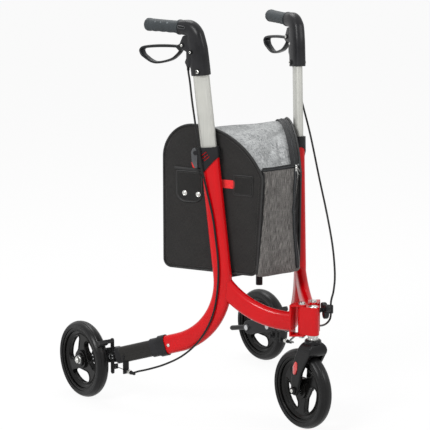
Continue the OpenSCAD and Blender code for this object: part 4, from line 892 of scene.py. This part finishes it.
def bagRow(u, z):
    # half width of the bag there, its plan y and its height, in millimetres
    half = plan["hingeX"] + u * splaySin + bag["edgeV"] * splayCos
    return half, plan["hingeY"] + u * splayCos - bag["edgeV"] * splaySin, z


def borderOf(rows, columns):
    index = np.arange(rows * columns).reshape(rows, columns)
    return np.unique(np.concatenate([index[0], index[-1], index[:, 0], index[:, -1]]))


def makeCloth(name, line, columns, settings, finish, dents=np.zeros((1, 1)), node=None):
    # straight rows across the bag at each point of the line, draped, then dented along the lift
    half, y, z = bagRow(line[:, 0], line[:, 1])
    points = stack(half[:, None] * np.linspace(-1, 1, columns)[None, :], y[:, None], z[:, None]) * mm
    along = walked(line) * mm
    uv = np.stack(np.broadcast_arrays(points[..., 0], along[:, None]), -1)
    faces = gridFaces(len(line), columns)
    shape = drape(points, faces, borderOf(len(line), columns), settings).reshape(points.shape)
    shape = shape + dents[..., None] * liftOf(line)[:, None] * mm
    piece = addPiece(name, shape, faces, finish, "head", uv, closed=False, node=node)
    thicken(piece, bag["cloth"])
    area = float(mm * np.sum((half[1:] + half[:-1]) * np.diff(along)))
    crumple(piece)


def makePocket():
    # the profile's depth carried round a squared half section, with gathers, then draped
    rows, columns = pocket["rows"], pocket["columns"]
    profile = spaced(smoothLine(pocket["profile"]), rows)
    depth, high = profile[:, :1], profile[:, 1:]
    a = np.linspace(np.pi, 0, columns)[None, :]
    share = (high - high.min()) / np.ptp(high)
    drawn = np.where(np.cos(a) < 0, *pocket["waist"]) * np.sin(np.pi * share ** 1.4)
    x = (pocket["half"] + pocket["flare"] * (1 - share) ** 2 - drawn) * squared(np.cos(a), pocket["square"])
    out = depth * squared(np.sin(a), pocket["square"]) * (0.82 + 0.18 * np.sin(a))
    gather = pocket["foldDeep"] * (0.35 + 0.65 * np.abs(2 * share - 1) ** 1.5) * np.sin(a)
    out = out + gather * np.sin(2 * np.pi * (x + 9 * np.sin(high / 70)) / pocket["fold"]) * (1 - (2 * share - 1) ** 12)
    hang = pocket["sag"] * (1 - share) ** 4 * np.sin(a)
    front = bagRow(bag["front"] + bag["inset"], 0.0)[1]
    points = stack(x, front - 1.0 - out, high - hang) * mm
    faces = gridFaces(rows, columns)
    shape = drape(points, faces, borderOf(rows, columns), drapes["pocket"]).reshape(points.shape)
    uv = np.stack([walked(points, 1), walked(points, 0)], -1)
    pouch = addPiece("bagPocket", shape, faces, "pocketCloth", "head", uv, closed=False, node="bag_pocket")
    thicken(pouch, bag["cloth"])
    crumple(pouch)
    edge = spaced(shape[1:-1, 1] + ahead * 0.5 * mm, 90)
    piping = sweep(edge, circle(pocket["piping"], 9), sideways)
    return points, shape, piping


def zipCoil(path, up):
    # two rows of teeth: the coil's thickness swings with each tooth
    count = int(lengthOf(path) / (zips["tooth"] * mm) * 5)
    path = smoothLine(spaced(path, 60), 8)
    up = np.broadcast_to(up, (len(path), 3)) if np.ndim(up) == 1 else spaced(up, len(path))
    at = np.linspace(0, len(path) - 1, count)
    pick = lambda a: np.stack([np.interp(at, np.arange(len(a)), a[:, k]) for k in range(3)], -1)
    swing = 1 + 0.28 * np.sin(2 * np.pi * np.arange(count) / 5)
    return sweep(pick(path), circle(zips["coil"], 8, 0.8 * zips["coil"]), pick(up), scale=swing)


def puller(top, down, out):
    # a slider and a hanging ring: an oblong loop under a small rounded body
    down, out, half = unit(np.asarray(down, float)), unit(out), zips["pull"] / 2
    a = wholeTurn(40)[:, None]
    loop = top + down * (4 + half - half * np.cos(a)) * mm + np.cross(down, out) * (
        3.3 * np.sin(a) * (1 - 0.35 * np.cos(a))) * mm + out * 2.6 * mm
    line = top + down * (np.linspace(-5, 6, 9) * mm)[:, None] + out * 1.2 * mm
    slider = sweep(line, bandSection(6.5, 3.8), out, scale=[0.3, 0.75, 0.95, 1, 1, 0.95, 0.9, 0.7, 0.3])
    return [sweep(loop, circle(0.95, 8), out, True), slider]


def makeBag():
    for side, s in sides.items():
        makePanel(side, s)
    inset = bag["inset"]
    (u, z, r), rear = bag["frontCurve"], [(bag["rear"] - inset, bag["rearSeam"])]
    (lidRows, lidColumns), (wallRows, wallColumns) = bag["lidGrid"], bag["wallGrid"]
    lidLine = spaced(np.vstack([lidCurve(inset, seamAngle(inset)), rear]), lidRows)
    front = arcLine(u, z, r - inset, curveEnd(inset), seamAngle(inset), 6)
    wallLine = spaced(np.vstack([rear, footCurve(inset), front]), wallRows)
    makeCloth("bagLid", lidLine, lidColumns, drapes["lid"], "lidCloth", dentsOf(lidRows, lidColumns), "bag_body")
    makeCloth("bagWalls", wallLine, wallColumns, drapes["wall"], "liningCloth")

    # zip band along the lid's left edge, and its coil
    half, y, z = bagRow(lidLine[:, 0], lidLine[:, 1])
    lift = liftOf(lidLine)
    lidZip = stack(half - zips["lidPlace"], y, z) * mm + lift * 1.0 * mm
    crumple(makeBand("lidZipBand", lidZip, lift, zips["lidBand"], zips["thick"], "zipTape", "head"))
    crumple(addPiece("lidZipCoil", *zipCoil(lidZip + lift * 0.9 * mm, lift), "zipCoil", "head"))
    points, shape, piping = makePocket()

    # the pocket's zip across its top, its side band, and the two pullers
    x = np.linspace(-pocket["half"] + 1, pocket["half"] - 1, 50)
    brow = bagRow(u + (r - inset) * np.cos(np.radians(seamAngle(inset))), 0.0)[1]
    across = stack(x, brow - 3.0, zips["frontZ"] + 0.8 * np.sin(x / 19)) * mm
    crumple(makeBand("pocketZipBand", across, ahead, zips["frontBand"], zips["frontThick"], "zipTape", "head"))
    beside = (pocket["half"] - pocket["waist"][1] - zips["sideBand"] / 2 - 2) * mm
    column = int(np.argmin(np.abs(points[pocket["rows"] // 2, :, 0] - beside)))
    down = shape[2:-5, column]
    away = unit(np.cross(shape[3:-4, column] - down, shape[2:-5, column + 1] - down))
    away = np.where(away[:, 1:2] > 0, -away, away)
    down = spaced(np.vstack([lidZip[:3][::-1] + ahead * 1.5 * mm, down + away * 1.4 * mm]), 60)
    away = spaced(np.vstack([[ahead] * 3, away]), 60)
    crumple(makeBand("pocketSideBand", down, away, zips["sideBand"], zips["thick"], "zipTape", "head"))
    coils = [zipCoil(across + ahead * 1.4 * mm, ahead), zipCoil(down + away * 1.2 * mm, away)]
    crumple(addPiece("pocketZipCoils", *joined(coils), "zipCoil", "head"))
    crumple(addPiece("pocketPiping", *piping, "bindingCloth", "head"))
    pulls = puller(across[-4] + ahead * 2.6 * mm, (0.5, 0, -1), ahead)
    pulls += puller(down[3] + away[3] * 2.4 * mm, (0.05, 0, -1), away[3])
    crumple(addPiece("zipPullers", *joined(pulls), "gunMetal", "head", sharp=60))


makeBag()
print("bag sewn")


# wheels: rounded tyres over the rims, lips round the openings; an opening's places and radii are shares of rimR
wheel = {"treadR": 22.0, "half": 16.0, "bead": 83.2, "shoulder": 93.0, "crownHalf": 15.6, "groove": 7.0,
         "grooveDeep": 0.8, "ribs": (85.6, 88.4, 91.2), "rimR": 84.0, "band": 63.4, "angles": (-24.0, 12.0, 38.0),
         "places": (0.57, 0.565, 0.68), "radii": (0.2, 0.245, 0.13), "disc": 6.0, "lip": 1.7,
         "steps": ((64.6, 5.2), (76.5, 12.0)), "stepR": 1.1, "frontTurn": -64.0, "hubW": 16.3}


def tyreProfile():
    # half the section, bead to crown: sidewall with moulded ribs, rounded shoulder, crown with a fine groove
    side = np.linspace(wheel["bead"], wheel["shoulder"], 44)
    ribs = np.exp(-((side[:, None] - np.array(wheel["ribs"])) / 0.55) ** 2).sum(axis=1)
    wall = wheel["half"] - 0.9 * ((wheel["shoulder"] - side) / 9.8) ** 2 + 0.5 * ribs
    h = np.linspace(wheel["crownHalf"], 0.0, 34)
    crown = plan["tyreR"] - wheel["treadR"] + np.sqrt(wheel["treadR"] ** 2 - h ** 2)
    crown = crown - wheel["grooveDeep"] * np.exp(-((h - wheel["groove"]) / 0.9) ** 2)
    half = np.vstack([np.stack([side, wall], -1), np.stack([crown, h], -1)])
    return np.vstack([half, half[-2::-1] * (1, -1)])


def openingOutline():
    # the farthest exit of each ray from the middle circle through circles strung between the three, kept in the band
    a = np.radians(wheel["angles"])
    spots = np.stack([np.cos(a), np.sin(a)], -1) * (np.array(wheel["places"]) * wheel["rimR"])[:, None]
    radii = np.array(wheel["radii"]) * wheel["rimR"]
    t = np.linspace(0, 1, 14)[:, None]
    beads = np.vstack([spots[k] + t * (spots[k + 1] - spots[k]) for k in (0, 1)])
    sizes = np.concatenate([radii[k] + t[:, 0] * (radii[k + 1] - radii[k]) for k in (0, 1)])
    b = wholeTurn(96)
    way = np.stack([np.cos(b), np.sin(b)], -1)
    off = spots[1] - beads
    dot = way @ off.T
    inside = dot ** 2 - (np.sum(off ** 2, -1) - sizes ** 2)[None]
    far = np.max(np.where(inside > 0, -dot + np.sqrt(np.maximum(inside, 0)), 0), axis=1)
    dot = way @ spots[1]
    limit = -dot + np.sqrt(dot ** 2 - spots[1] @ spots[1] + wheel["band"] ** 2)
    return spots[1] + np.minimum(far, limit)[:, None] * way


def makeWheel(name, centre, turn):
    body, centre = f"{name}_wheel", np.array(centre) * mm
    tyre = turned(tyreProfile(), centre, (1, 0, 0), 150, True)
    addPiece(f"{name}Tyre", *tyre, "tyreRubber", body, node=f"{name}_tyre")
    rings = []                                               # height over the disc, y, z and thickness of each lip
    b = np.radians(turn)
    for third in np.radians((0, 120, 240)):
        c, d = np.cos(third), np.sin(third)
        flat = openingOutline() @ np.array([[c, d], [-d, c]])
        y, z = flat[:, 1], -flat[:, 0]                       # the rim is drawn flat, then set upright
        rings.append((wheel["disc"], y * np.cos(b) - z * np.sin(b), y * np.sin(b) + z * np.cos(b), wheel["lip"], 8))
    a = wholeTurn(110)
    rings += [(x, radius * np.cos(a), radius * np.sin(a), wheel["stepR"], 7) for radius, x in wheel["steps"]]
    lips = [sweep(centre + stack(face * x, y, z) * mm, circle(thick, count), sideways, True)
            for x, y, z, thick, count in rings for face in (-1, 1)]
    addPiece(f"{name}RimLips", *joined(lips), "rimPlastic", body)


makeWheel("front", (0.0, plan["frontY"], plan["tyreR"]), wheel["frontTurn"])
for side, s in sides.items():
    makeWheel(side, (-s * plan["wheelX"], plan["rearY"], plan["tyreR"]), 0.0)
print("wheels turned")


# handles: lofted housing, ears, outlet, grip and lever loop; outlines are circles of (along, up, radius)
handle = {"mast": (179.0, 181.0, 195.0, 212.0, 230.0, 246.0), "elbow": 26.0,
          "bend": (14.0, 30.0, 46.0, 62.0, 76.0, 90.0), "end": (33.0, 41.0, 49.0), "ring": 48.0,
          "wide": [49.4, 50.6, 50.8, 51.0, 50.6, 49.0, 45.5, 43.0, 41.2, 40.4, 39.8, 39.2, 38.0, 36.6, 35.6],
          "deep": [31.4, 32.4, 32.6, 32.8, 33.0] + [33.2] * 10,
          "power": [3.0, 3.0, 3.0, 2.9, 2.8, 2.7, 2.6, 2.5, 2.4, 2.4, 2.3, 2.3, 2.2, 2.1, 2.1],
          "pivot": (36.0, -42.5), "gap": 0.3, "earT": 4.5, "outlet": (26.0, -93.0),
          "web": [(8.0, -48.5, 14.0), (36.0, -42.5, 9.0), (28.0, -27.0, 9.0), (10.0, -30.0, 10.0)],
          "arm": [(4.0, -60.0, 14.0), (24.5, -84.0, 6.6), (8.0, -88.0, 10.0)],
          "bulk": [(6.0, -36.0, 14.0), (9.0, -60.0, 14.0), (14.0, -82.0, 9.0)],
          "slot": [(26.0, 1.5, 1.9), (43.0, 2.5, 1.9)], "slotRim": [(26.0, 1.5, 2.9), (43.0, 2.5, 2.9)],
          "nose": [(0, 14), (5.6, 13), (5.8, 4), (5.2, 0.4), (4.2, -0.6), (3.1, -0.6), (3.1, 6)],
          "boot": [(0, 2.0), (4.3, 1.6), (4.4, -1.0), (3.6, -4.0), (3.5, -10.0), (2.9, -11.0), (0, -11.0)]}
grip = {"long": 115.0, "radius": 15.4, "ringR": 18.7, "ringHalf": 3.75, "waves": 0.45, "wave": 24.0, "ridge": 0.16,
        "ridges": 2.4, "slots": 9, "round": 96, "dots": (36.0, 58.0, 76.0), "dotR": 15.2, "dotTurn": 38.0,
        "dot": [(0, 0.9), (1.4, 0.75), (2.2, 0.1), (2.3, -1.5)]}
lever = {"thick": 14.0, "reach": 146.0, "half": 3.4, "flare": 0.5, "steps": 150,
         "loop": [(0.14, -0.035), (0.53, -0.05), (0.88, -0.092), (0.97, -0.135), (0.97, -0.19), (0.90, -0.255),
                  (0.66, -0.34), (0.32, -0.27), (0.15, -0.165), (0.075, -0.07)],
         "eye": [(0.0, 0.0, 8.0), (0.15, -0.04, 3.4), (0.09, -0.085, 3.2)]}
lock = {"half": 7.7, "tipHalf": 6.7, "tip": [(46.0, -33.0, 3.6), (43.5, -43.0, 4.2)],
        "lever": [(35.5, -9.0, 6.4), (38.0, -3.0, 5.6), (41.5, -8.0, 5.6), (42.5, -32.0, 5.4), (38.0, -43.0, 4.8)]}


def roundedSections(wide, deep, power, count=36):
    # superellipse rings: the circle's cosine and sine each raised to 2 / power
    a, power = wholeTurn(count)[None, :], 2 / power[:, None]
    across, up = (size[:, None] / 2 * squared(wave(a), power) for size, wave in ((wide, np.cos), (deep, np.sin)))
    return np.stack([across, up], -1) * mm


def makeHousing(side, s):
    # rings of changing size from the mast round the elbow to the grip, with webs for the lever and the cable
    body, out = f"{side}_mast", handleOut(s)
    a, k = np.radians(handle["bend"]), handle["elbow"]
    path = smoothLine(np.vstack([mastSpace(0.0, 0.0, np.array(handle["mast"]), s),
                                 handleSpace(k - k * np.cos(a), 0.0, k * np.sin(a) - k, s),
                                 handleSpace(np.array(handle["end"]), 0.0, 0.0, s)]), 4)
    t = np.linspace(0, 14, len(path))
    sizes = [np.interp(t, np.arange(15), handle[k]) for k in ("wide", "deep", "power")]
    shapes = [sweep(path, roundedSections(*sizes), out)]
    low = lever["thick"] / 2 + handle["gap"]
    high = low + handle["earT"]
    for outline, near, far, ease in (("web", low, high, 1.2), ("web", -high, -low, 1.2), ("arm", -8.0, 8.0, 2.6),
                                     ("bulk", -13.0, 13.0, 4.5)):
        shapes.append(slab(hullOutline(handle[outline]), near, far, ease, handleSpace, s))
    q, h = handle["outlet"]
    shapes.append(turned(handle["nose"], handleSpace(q, 0.0, h, s), upward, 24))
    addPiece(f"{side}Housing", *joined(shapes), "blackPlastic", body, node=f"{side}_housing")

    # a dark slab on the elbow, painted shade standing in for the depth of its slot, and a rim round it in lighter grey
    # as a painted highlight; seats and screws of the housing, boot of the cable
    rim = hullOutline(handle["slotRim"], 60)
    rim = sweep(handleSpace(rim[:, 0], 16.5, rim[:, 1], s), circle(0.9, 8), out, True)
    # the slot is a dark slab raised on the elbow: painted shade, not a recess
    trimAndSlotShade = [slab(hullOutline(handle["slot"], 40), 15.6, 17.1, 0.4, handleSpace, s),
            turned(handle["boot"], handleSpace(q, 0.0, h - 0.2, s), upward, 20)]
    bolts, (q, h) = [], handle["pivot"]
    for sign in (1, -1):
        for spot, radius, tall in ((mastSpace(0.0, sign * 16.2, 189.0, s), 5.4, 4.6),
                                   (handleSpace(5.0, sign * 16.0, -57.0, s), 3.2, 2.8),
                                   (handleSpace(q, sign * high, h, s), 3.6, 3.4)):
            bolts.append(screwHead(radius, tall, spot, out * sign))
            trimAndSlotShade.append(seatRing(radius, 1.2, spot, out * sign))
    addPiece(f"{side}HousingTrimAndSlotShade", *joined(trimAndSlotShade), "darkPlastic", body)
    addPiece(f"{side}ElbowRim", *rim, "lockPlastic", body)
    addPiece(f"{side}HousingScrews", *joined(bolts), "nickel", body, sharp=50)


def makeGrip(side, s):
    # radius over length and angle: ring, finger waves on the underside, slotted end ring, rounded end
    body, base, round = f"{side}_mast", grip["radius"], grip["round"]
    far = np.concatenate([np.linspace(0, 9, 16), np.linspace(10, 96, 60), np.linspace(97, grip["long"], 30)])[:, None]
    a = wholeTurn(round)[None, :]
    hump = lambda middle, half: np.clip(1 - (np.abs(far - middle) / half) ** 6, 0, 1) ** 0.5
    ring = (grip["ringR"] - base) * hump(grip["ringHalf"], grip["ringHalf"])
    under = np.clip(-np.sin(a), 0, 1) ** 1.5
    waves = grip["waves"] * under * np.cos(2 * np.pi * (far - 12) / grip["wave"]) * (far > 10) * (far < 94)
    last = 0.7 * hump(106.0, 7.0)
    turnBy = (a * grip["slots"] / (2 * np.pi)) % 1.0
    slots = 0.9 * np.exp(-((turnBy - 0.5) / 0.09) ** 2) * (far > 100.5) * (far < 111.5)
    ridge = grip["ridge"] * np.cos(2 * np.pi * far / grip["ridges"]) * (far > 11) * (far < 95)
    end = np.sqrt(np.clip(1 - np.clip((far - 107.5) / 7.5, 0, 1) ** 2.6, 0, 1))
    r = (base - 0.35 * np.sin(np.pi * np.clip(far / 97, 0, 1)) + ring + waves + last - slots + ridge) * end
    r = np.where(far < 0.05, 12.0, r)
    points = handleSpace(handle["ring"] + far, r * np.cos(a), r * np.sin(a), s)
    faces = gridFaces(len(far), round, False, True) + [list(range(round))]
    addPiece(f"{side}Grip", points, faces, "gripRubber", body, sharp=60, node=f"{side}_grip")
    lean = np.radians(grip["dotTurn"])
    w, h = np.cos(lean), np.sin(lean)
    face = unit(handleSpace(0.0, w, h, s) - handleSpace(0.0, 0.0, 0.0, s))
    dots = [turned(grip["dot"], handleSpace(handle["ring"] + k, grip["dotR"] * w, grip["dotR"] * h, s), face, 16)
            for k in grip["dots"]]
    addPiece(f"{side}GripDots", *joined(dots), "dotRubber", body)


def makeLever(side, s):
    # the loop's middle line through its shares of the reach, with a flat rounded band carried round it
    (q, h), reach, steps = handle["pivot"], lever["reach"], lever["steps"]
    shares = np.array(lever["loop"]) * reach
    line = smoothLine(np.vstack([shares[-1:], shares, shares[:2]]), 10)[10:-10]
    line = spaced(line[:-1], steps, True)
    path = handleSpace(q + line[:, 0], 0.0, h + line[:, 1], s)
    swell = 1 + 0.12 * np.sin(wholeTurn(steps))
    deep = lever["thick"] * (1 + lever["flare"] * np.clip(line[:, 0] / reach, 0, 1) ** 2)
    band = roundedSections(2 * lever["half"] * swell, deep, 2.9 * np.ones(steps), 24)
    half = lever["thick"] / 2
    eye = hullOutline(np.array(lever["eye"]) * (reach, reach, 1) + (q, h, 0))
    shapes = [sweep(path, band, handleOut(s), True), slab(eye, -half, half, 1.4, handleSpace, s)]
    addPiece(f"{side}LeverLoop", *joined(shapes), "leverPlastic", f"{side}_lever", node=f"{side}_brake_lever")


def makeLock(side, s):
    # rounded height lever behind the collar, painted a lighter grey as a painted highlight, and its red tip
    for name, outline, half, finish, node in (("HeightLever", "lever", "half", "lockPlastic", "lever"),
                                              ("HeightTip", "tip", "tipHalf", "redPlastic", "button")):
        shape = slab(hullOutline(lock[outline]), -lock[half], lock[half], 2.6, mastSpace, s)
        addPiece(f"{side}{name}", *shape, finish, f"{side}_lock", node=f"{side}_height_{node}")


for side, s in sides.items():
    makeHousing(side, s)
    makeGrip(side, s)
    makeLever(side, s)
    makeLock(side, s)
print("handles shaped")


# head and caster: star knob, cap nut, softened fork with its lenses; then the rear mouldings and small hardware
soft = {"voxel": 1.25, "passes": 10}
knob = {"way": np.radians(-17.0), "z": 305.5, "from": 26.0, "to": 39.0, "mean": 17.2, "lobe": 5.8, "eyeAt": 46.0,
        "shaft": [(0, 13), (6.5, 13), (6.5, 18), (5, 20), (5, 43), (0, 43)],
        "boss": [(8.2, 0), (8.2, 2.0), (7.0, 3.2), (4.4, 3.4), (4.2, 1.6), (0, 1.6)],
        "eye": [(3.1, -10), (5.4, -10), (6.0, -9), (6.0, 9), (5.4, 10), (3.1, 10)]}
post = {"top": 315.5, "cap": [(0, 3.4), (6.0, 3.2), (9.6, 2.2), (11.2, 0.6), (11.5, -0.6), (11.5, -4.0)],
        "nut": (6.9, 4.9), "nutZ": 320.0}
fork = {"crown": 232.0, "seat": [(0, 1.6), (15.0, 1.6), (18.6, 1.2), (20.2, -0.4), (20.8, -3.0), (20.8, -7.0)],
        "washers": ((12.6, 1.5, 3.0), (12.2, 6.6, 2.2), (13.0, 10.2, 2.9)),
        "axleX": 28.5, "endX": 5.6, "end": (4.6, 2.4),
        "cap": [(9.6, -1.5), (9.4, 1.5), (8.6, 5.6), (7.6, 6.6), (5.0, 6.6), (4.7, 5.8), (4.7, 3.0), (0, 3.0)]}
lens = {"outline": [(0.0, -13.0, 4.6), (0.0, 0.0, 8.2), (0.0, 13.0, 4.6)], "lean": 13.0, "from": 24.0, "proud": 0.5}
rear = {"nut": (7.8, 6.4), "rivetAt": (0.0, 13.5, 25.0),
        "rivet": [(0, 2.2), (2.4, 2.0), (4.0, 1.1), (4.4, 0.2), (4.4, -1.0)],
        "boot": [(0, 3.0), (4.6, 3.0), (5.0, 1.5), (5.0, -2.0), (4.0, -6.0), (3.4, -15.0), (2.9, -16.0), (0, -16.0)],
        "barrel": [(0, 2.6), (4.9, 2.6), (5.9, 3.4), (5.9, 7.0), (5.3, 7.4), (5.9, 7.8), (5.9, 12.0), (5.0, 12.8),
                   (0, 12.8)]}


def softened(name, node, finish, body):
    # a merged copy of the CAD solid rounded over: remeshed in small cells, then smoothed
    source = nodes[node]
    shell = bmesh.new()
    shell.from_mesh(source.data)
    shell.transform(source.matrix_world)
    bmesh.ops.remove_doubles(shell, verts=shell.verts, dist=mergeFar / 2)
    mesh = bpy.data.meshes.new("rough")
    shell.to_mesh(mesh)
    shell.free()
    rough = place("rough", mesh)
    cells = rough.modifiers.new("cells", "REMESH")
    cells.mode, cells.voxel_size = "VOXEL", soft["voxel"] * mm
    even = rough.modifiers.new("even", "SMOOTH")
    even.factor, even.iterations = 0.5, soft["passes"]
    done = bpy.data.meshes.new_from_object(rough.evaluated_get(bpy.context.evaluated_depsgraph_get()))
    bpy.data.objects.remove(rough)
    done.name = name
    finishPiece(name, done, finish, body, node)


def knobSpace(x, y, z):
    # along the knob's shaft from the stem, across it, and up
    c, d = np.cos(knob["way"]), np.sin(knob["way"])
    return stack(x * c - y * d, plan["stemY"] + x * d + y * c, knob["z"] + z) * mm


def makeHead():
    # the knob's radius swings three times round; its shaft, boss and eye are turned
    a = wholeTurn(90)
    r = knob["mean"] + knob["lobe"] * np.cos(3 * (a + np.pi / 2))
    start = knobSpace(0.0, 0.0, 0.0)
    along = unit(knobSpace(1.0, 0.0, 0.0) - start)
    shapes = [slab(np.stack([r * np.cos(a), r * np.sin(a)], -1), knob["from"], knob["to"], 3.0,
                   lambda y, x, z, s: knobSpace(x, y, z), 1),
              turned(knob["shaft"], start, along, 28), turned(knob["boss"], knobSpace(knob["to"], 0.0, 0.0), along, 28),
              turned(knob["eye"], knobSpace(knob["eyeAt"], 0.0, 0.0), upward, 30, True)]
    addPiece("starKnob", *joined(shapes), "blackPlastic", "head", node="cable_guide")
    top = np.array([0.0, plan["stemY"], post["top"]]) * mm
    addPiece("postCap", *turned(post["cap"], top, upward, 48), "nickel", "head")
    hinge = [hexNut(*post["nut"], np.array([-s * plan["hingeX"], plan["hingeY"], post["nutZ"]]) * mm, upward, 0.2)
             for s in (1, -1)]
    addPiece("hingeNuts", *joined(hinge), "nickel", "head", sharp=30)


def makeCaster():
    # leaning oval lenses over the reflectors, the softened fork, its crown's seat and washers, caps on the axle
    solid = nodes["fork_reflectors"]
    box = np.array([solid.matrix_world @ Vector(k) for k in solid.bound_box]) / mm
    centre, face = box.mean(axis=0), box[:, 0].max()
    c, d = np.cos(np.radians(lens["lean"])), np.sin(np.radians(lens["lean"]))
    flat = hullOutline(lens["outline"]) @ np.array([[c, d], [-d, c]])
    forkSpace = lambda y, x, z, s: stack(-s * x, centre[1] + y, centre[2] + z) * mm
    lenses = [slab(flat, lens["from"], face + lens["proud"], 1.2, forkSpace, s) for s in (1, -1)]
    addPiece("forkLenses", *joined(lenses), "reflectorLens", "caster", node="fork_reflectors")
    softened("casterFork", "caster_fork", "forkPlastic", "caster")
    crown = np.array([0.0, plan["stemY"], fork["crown"]]) * mm
    addPiece("crownSeat", *turned(fork["seat"], crown, upward, 60), "forkPlastic", "caster")
    washer = lambda r, low, high: [(0.4, low), (r, low), (r + 0.9, low + 0.5), (r + 0.9, high - 0.5), (r, high),
                                   (0.4, high)]
    rings = [turned(washer(r, low, low + t), crown, upward, 44) for r, low, t in fork["washers"]]
    addPiece("stemWashers", *joined(rings), "nickel", "caster")
    caps, ends = [], []
    for face in (-1, 1):
        spot = np.array([face * fork["axleX"], plan["frontY"], plan["tyreR"]]) * mm
        caps.append(turned(fork["cap"], spot, (face, 0, 0), 40))
        ends.append(screwHead(*fork["end"], spot + np.array([face * fork["endX"], 0, 0]) * mm, (face, 0, 0)))
    addPiece("forkAxleCaps", *joined(caps), "forkPlastic", "caster")
    addPiece("forkAxleEnds", *joined(ends), "nickel", "caster", sharp=50)


def makeRear(side, s):
    body = f"{side}_frame"
    softened(f"{side}WheelArm", f"{side}_wheel_arm", "blackPlastic", body)
    hub = np.array([-s * (plan["wheelX"] + wheel["hubW"]), plan["rearY"], plan["tyreR"]]) * mm
    rivet = turned(rear["rivet"], legSpace(*rear["rivetAt"], s), outward(s), 24)
    nuts = [hexNut(*rear["nut"], hub, (-s, 0, 0), 0.5), rivet]
    addPiece(f"{side}FrameHardware", *joined(nuts), "nickel", body, sharp=30)
    spot = sideSpace(*cable["stop"], s)
    addPiece(f"{side}CableBoot", *turned(rear["boot"], spot, (0, 1, 0), 22), "darkPlastic", body)
    addPiece(f"{side}CableAdjuster", *turned(rear["barrel"], spot, (0, 1, 0), 28), "nickel", body)


makeHead()
makeCaster()
for side, s in sides.items():
    makeRear(side, s)
print("head, caster and rear hardware made")


bpy.context.view_layer.update()
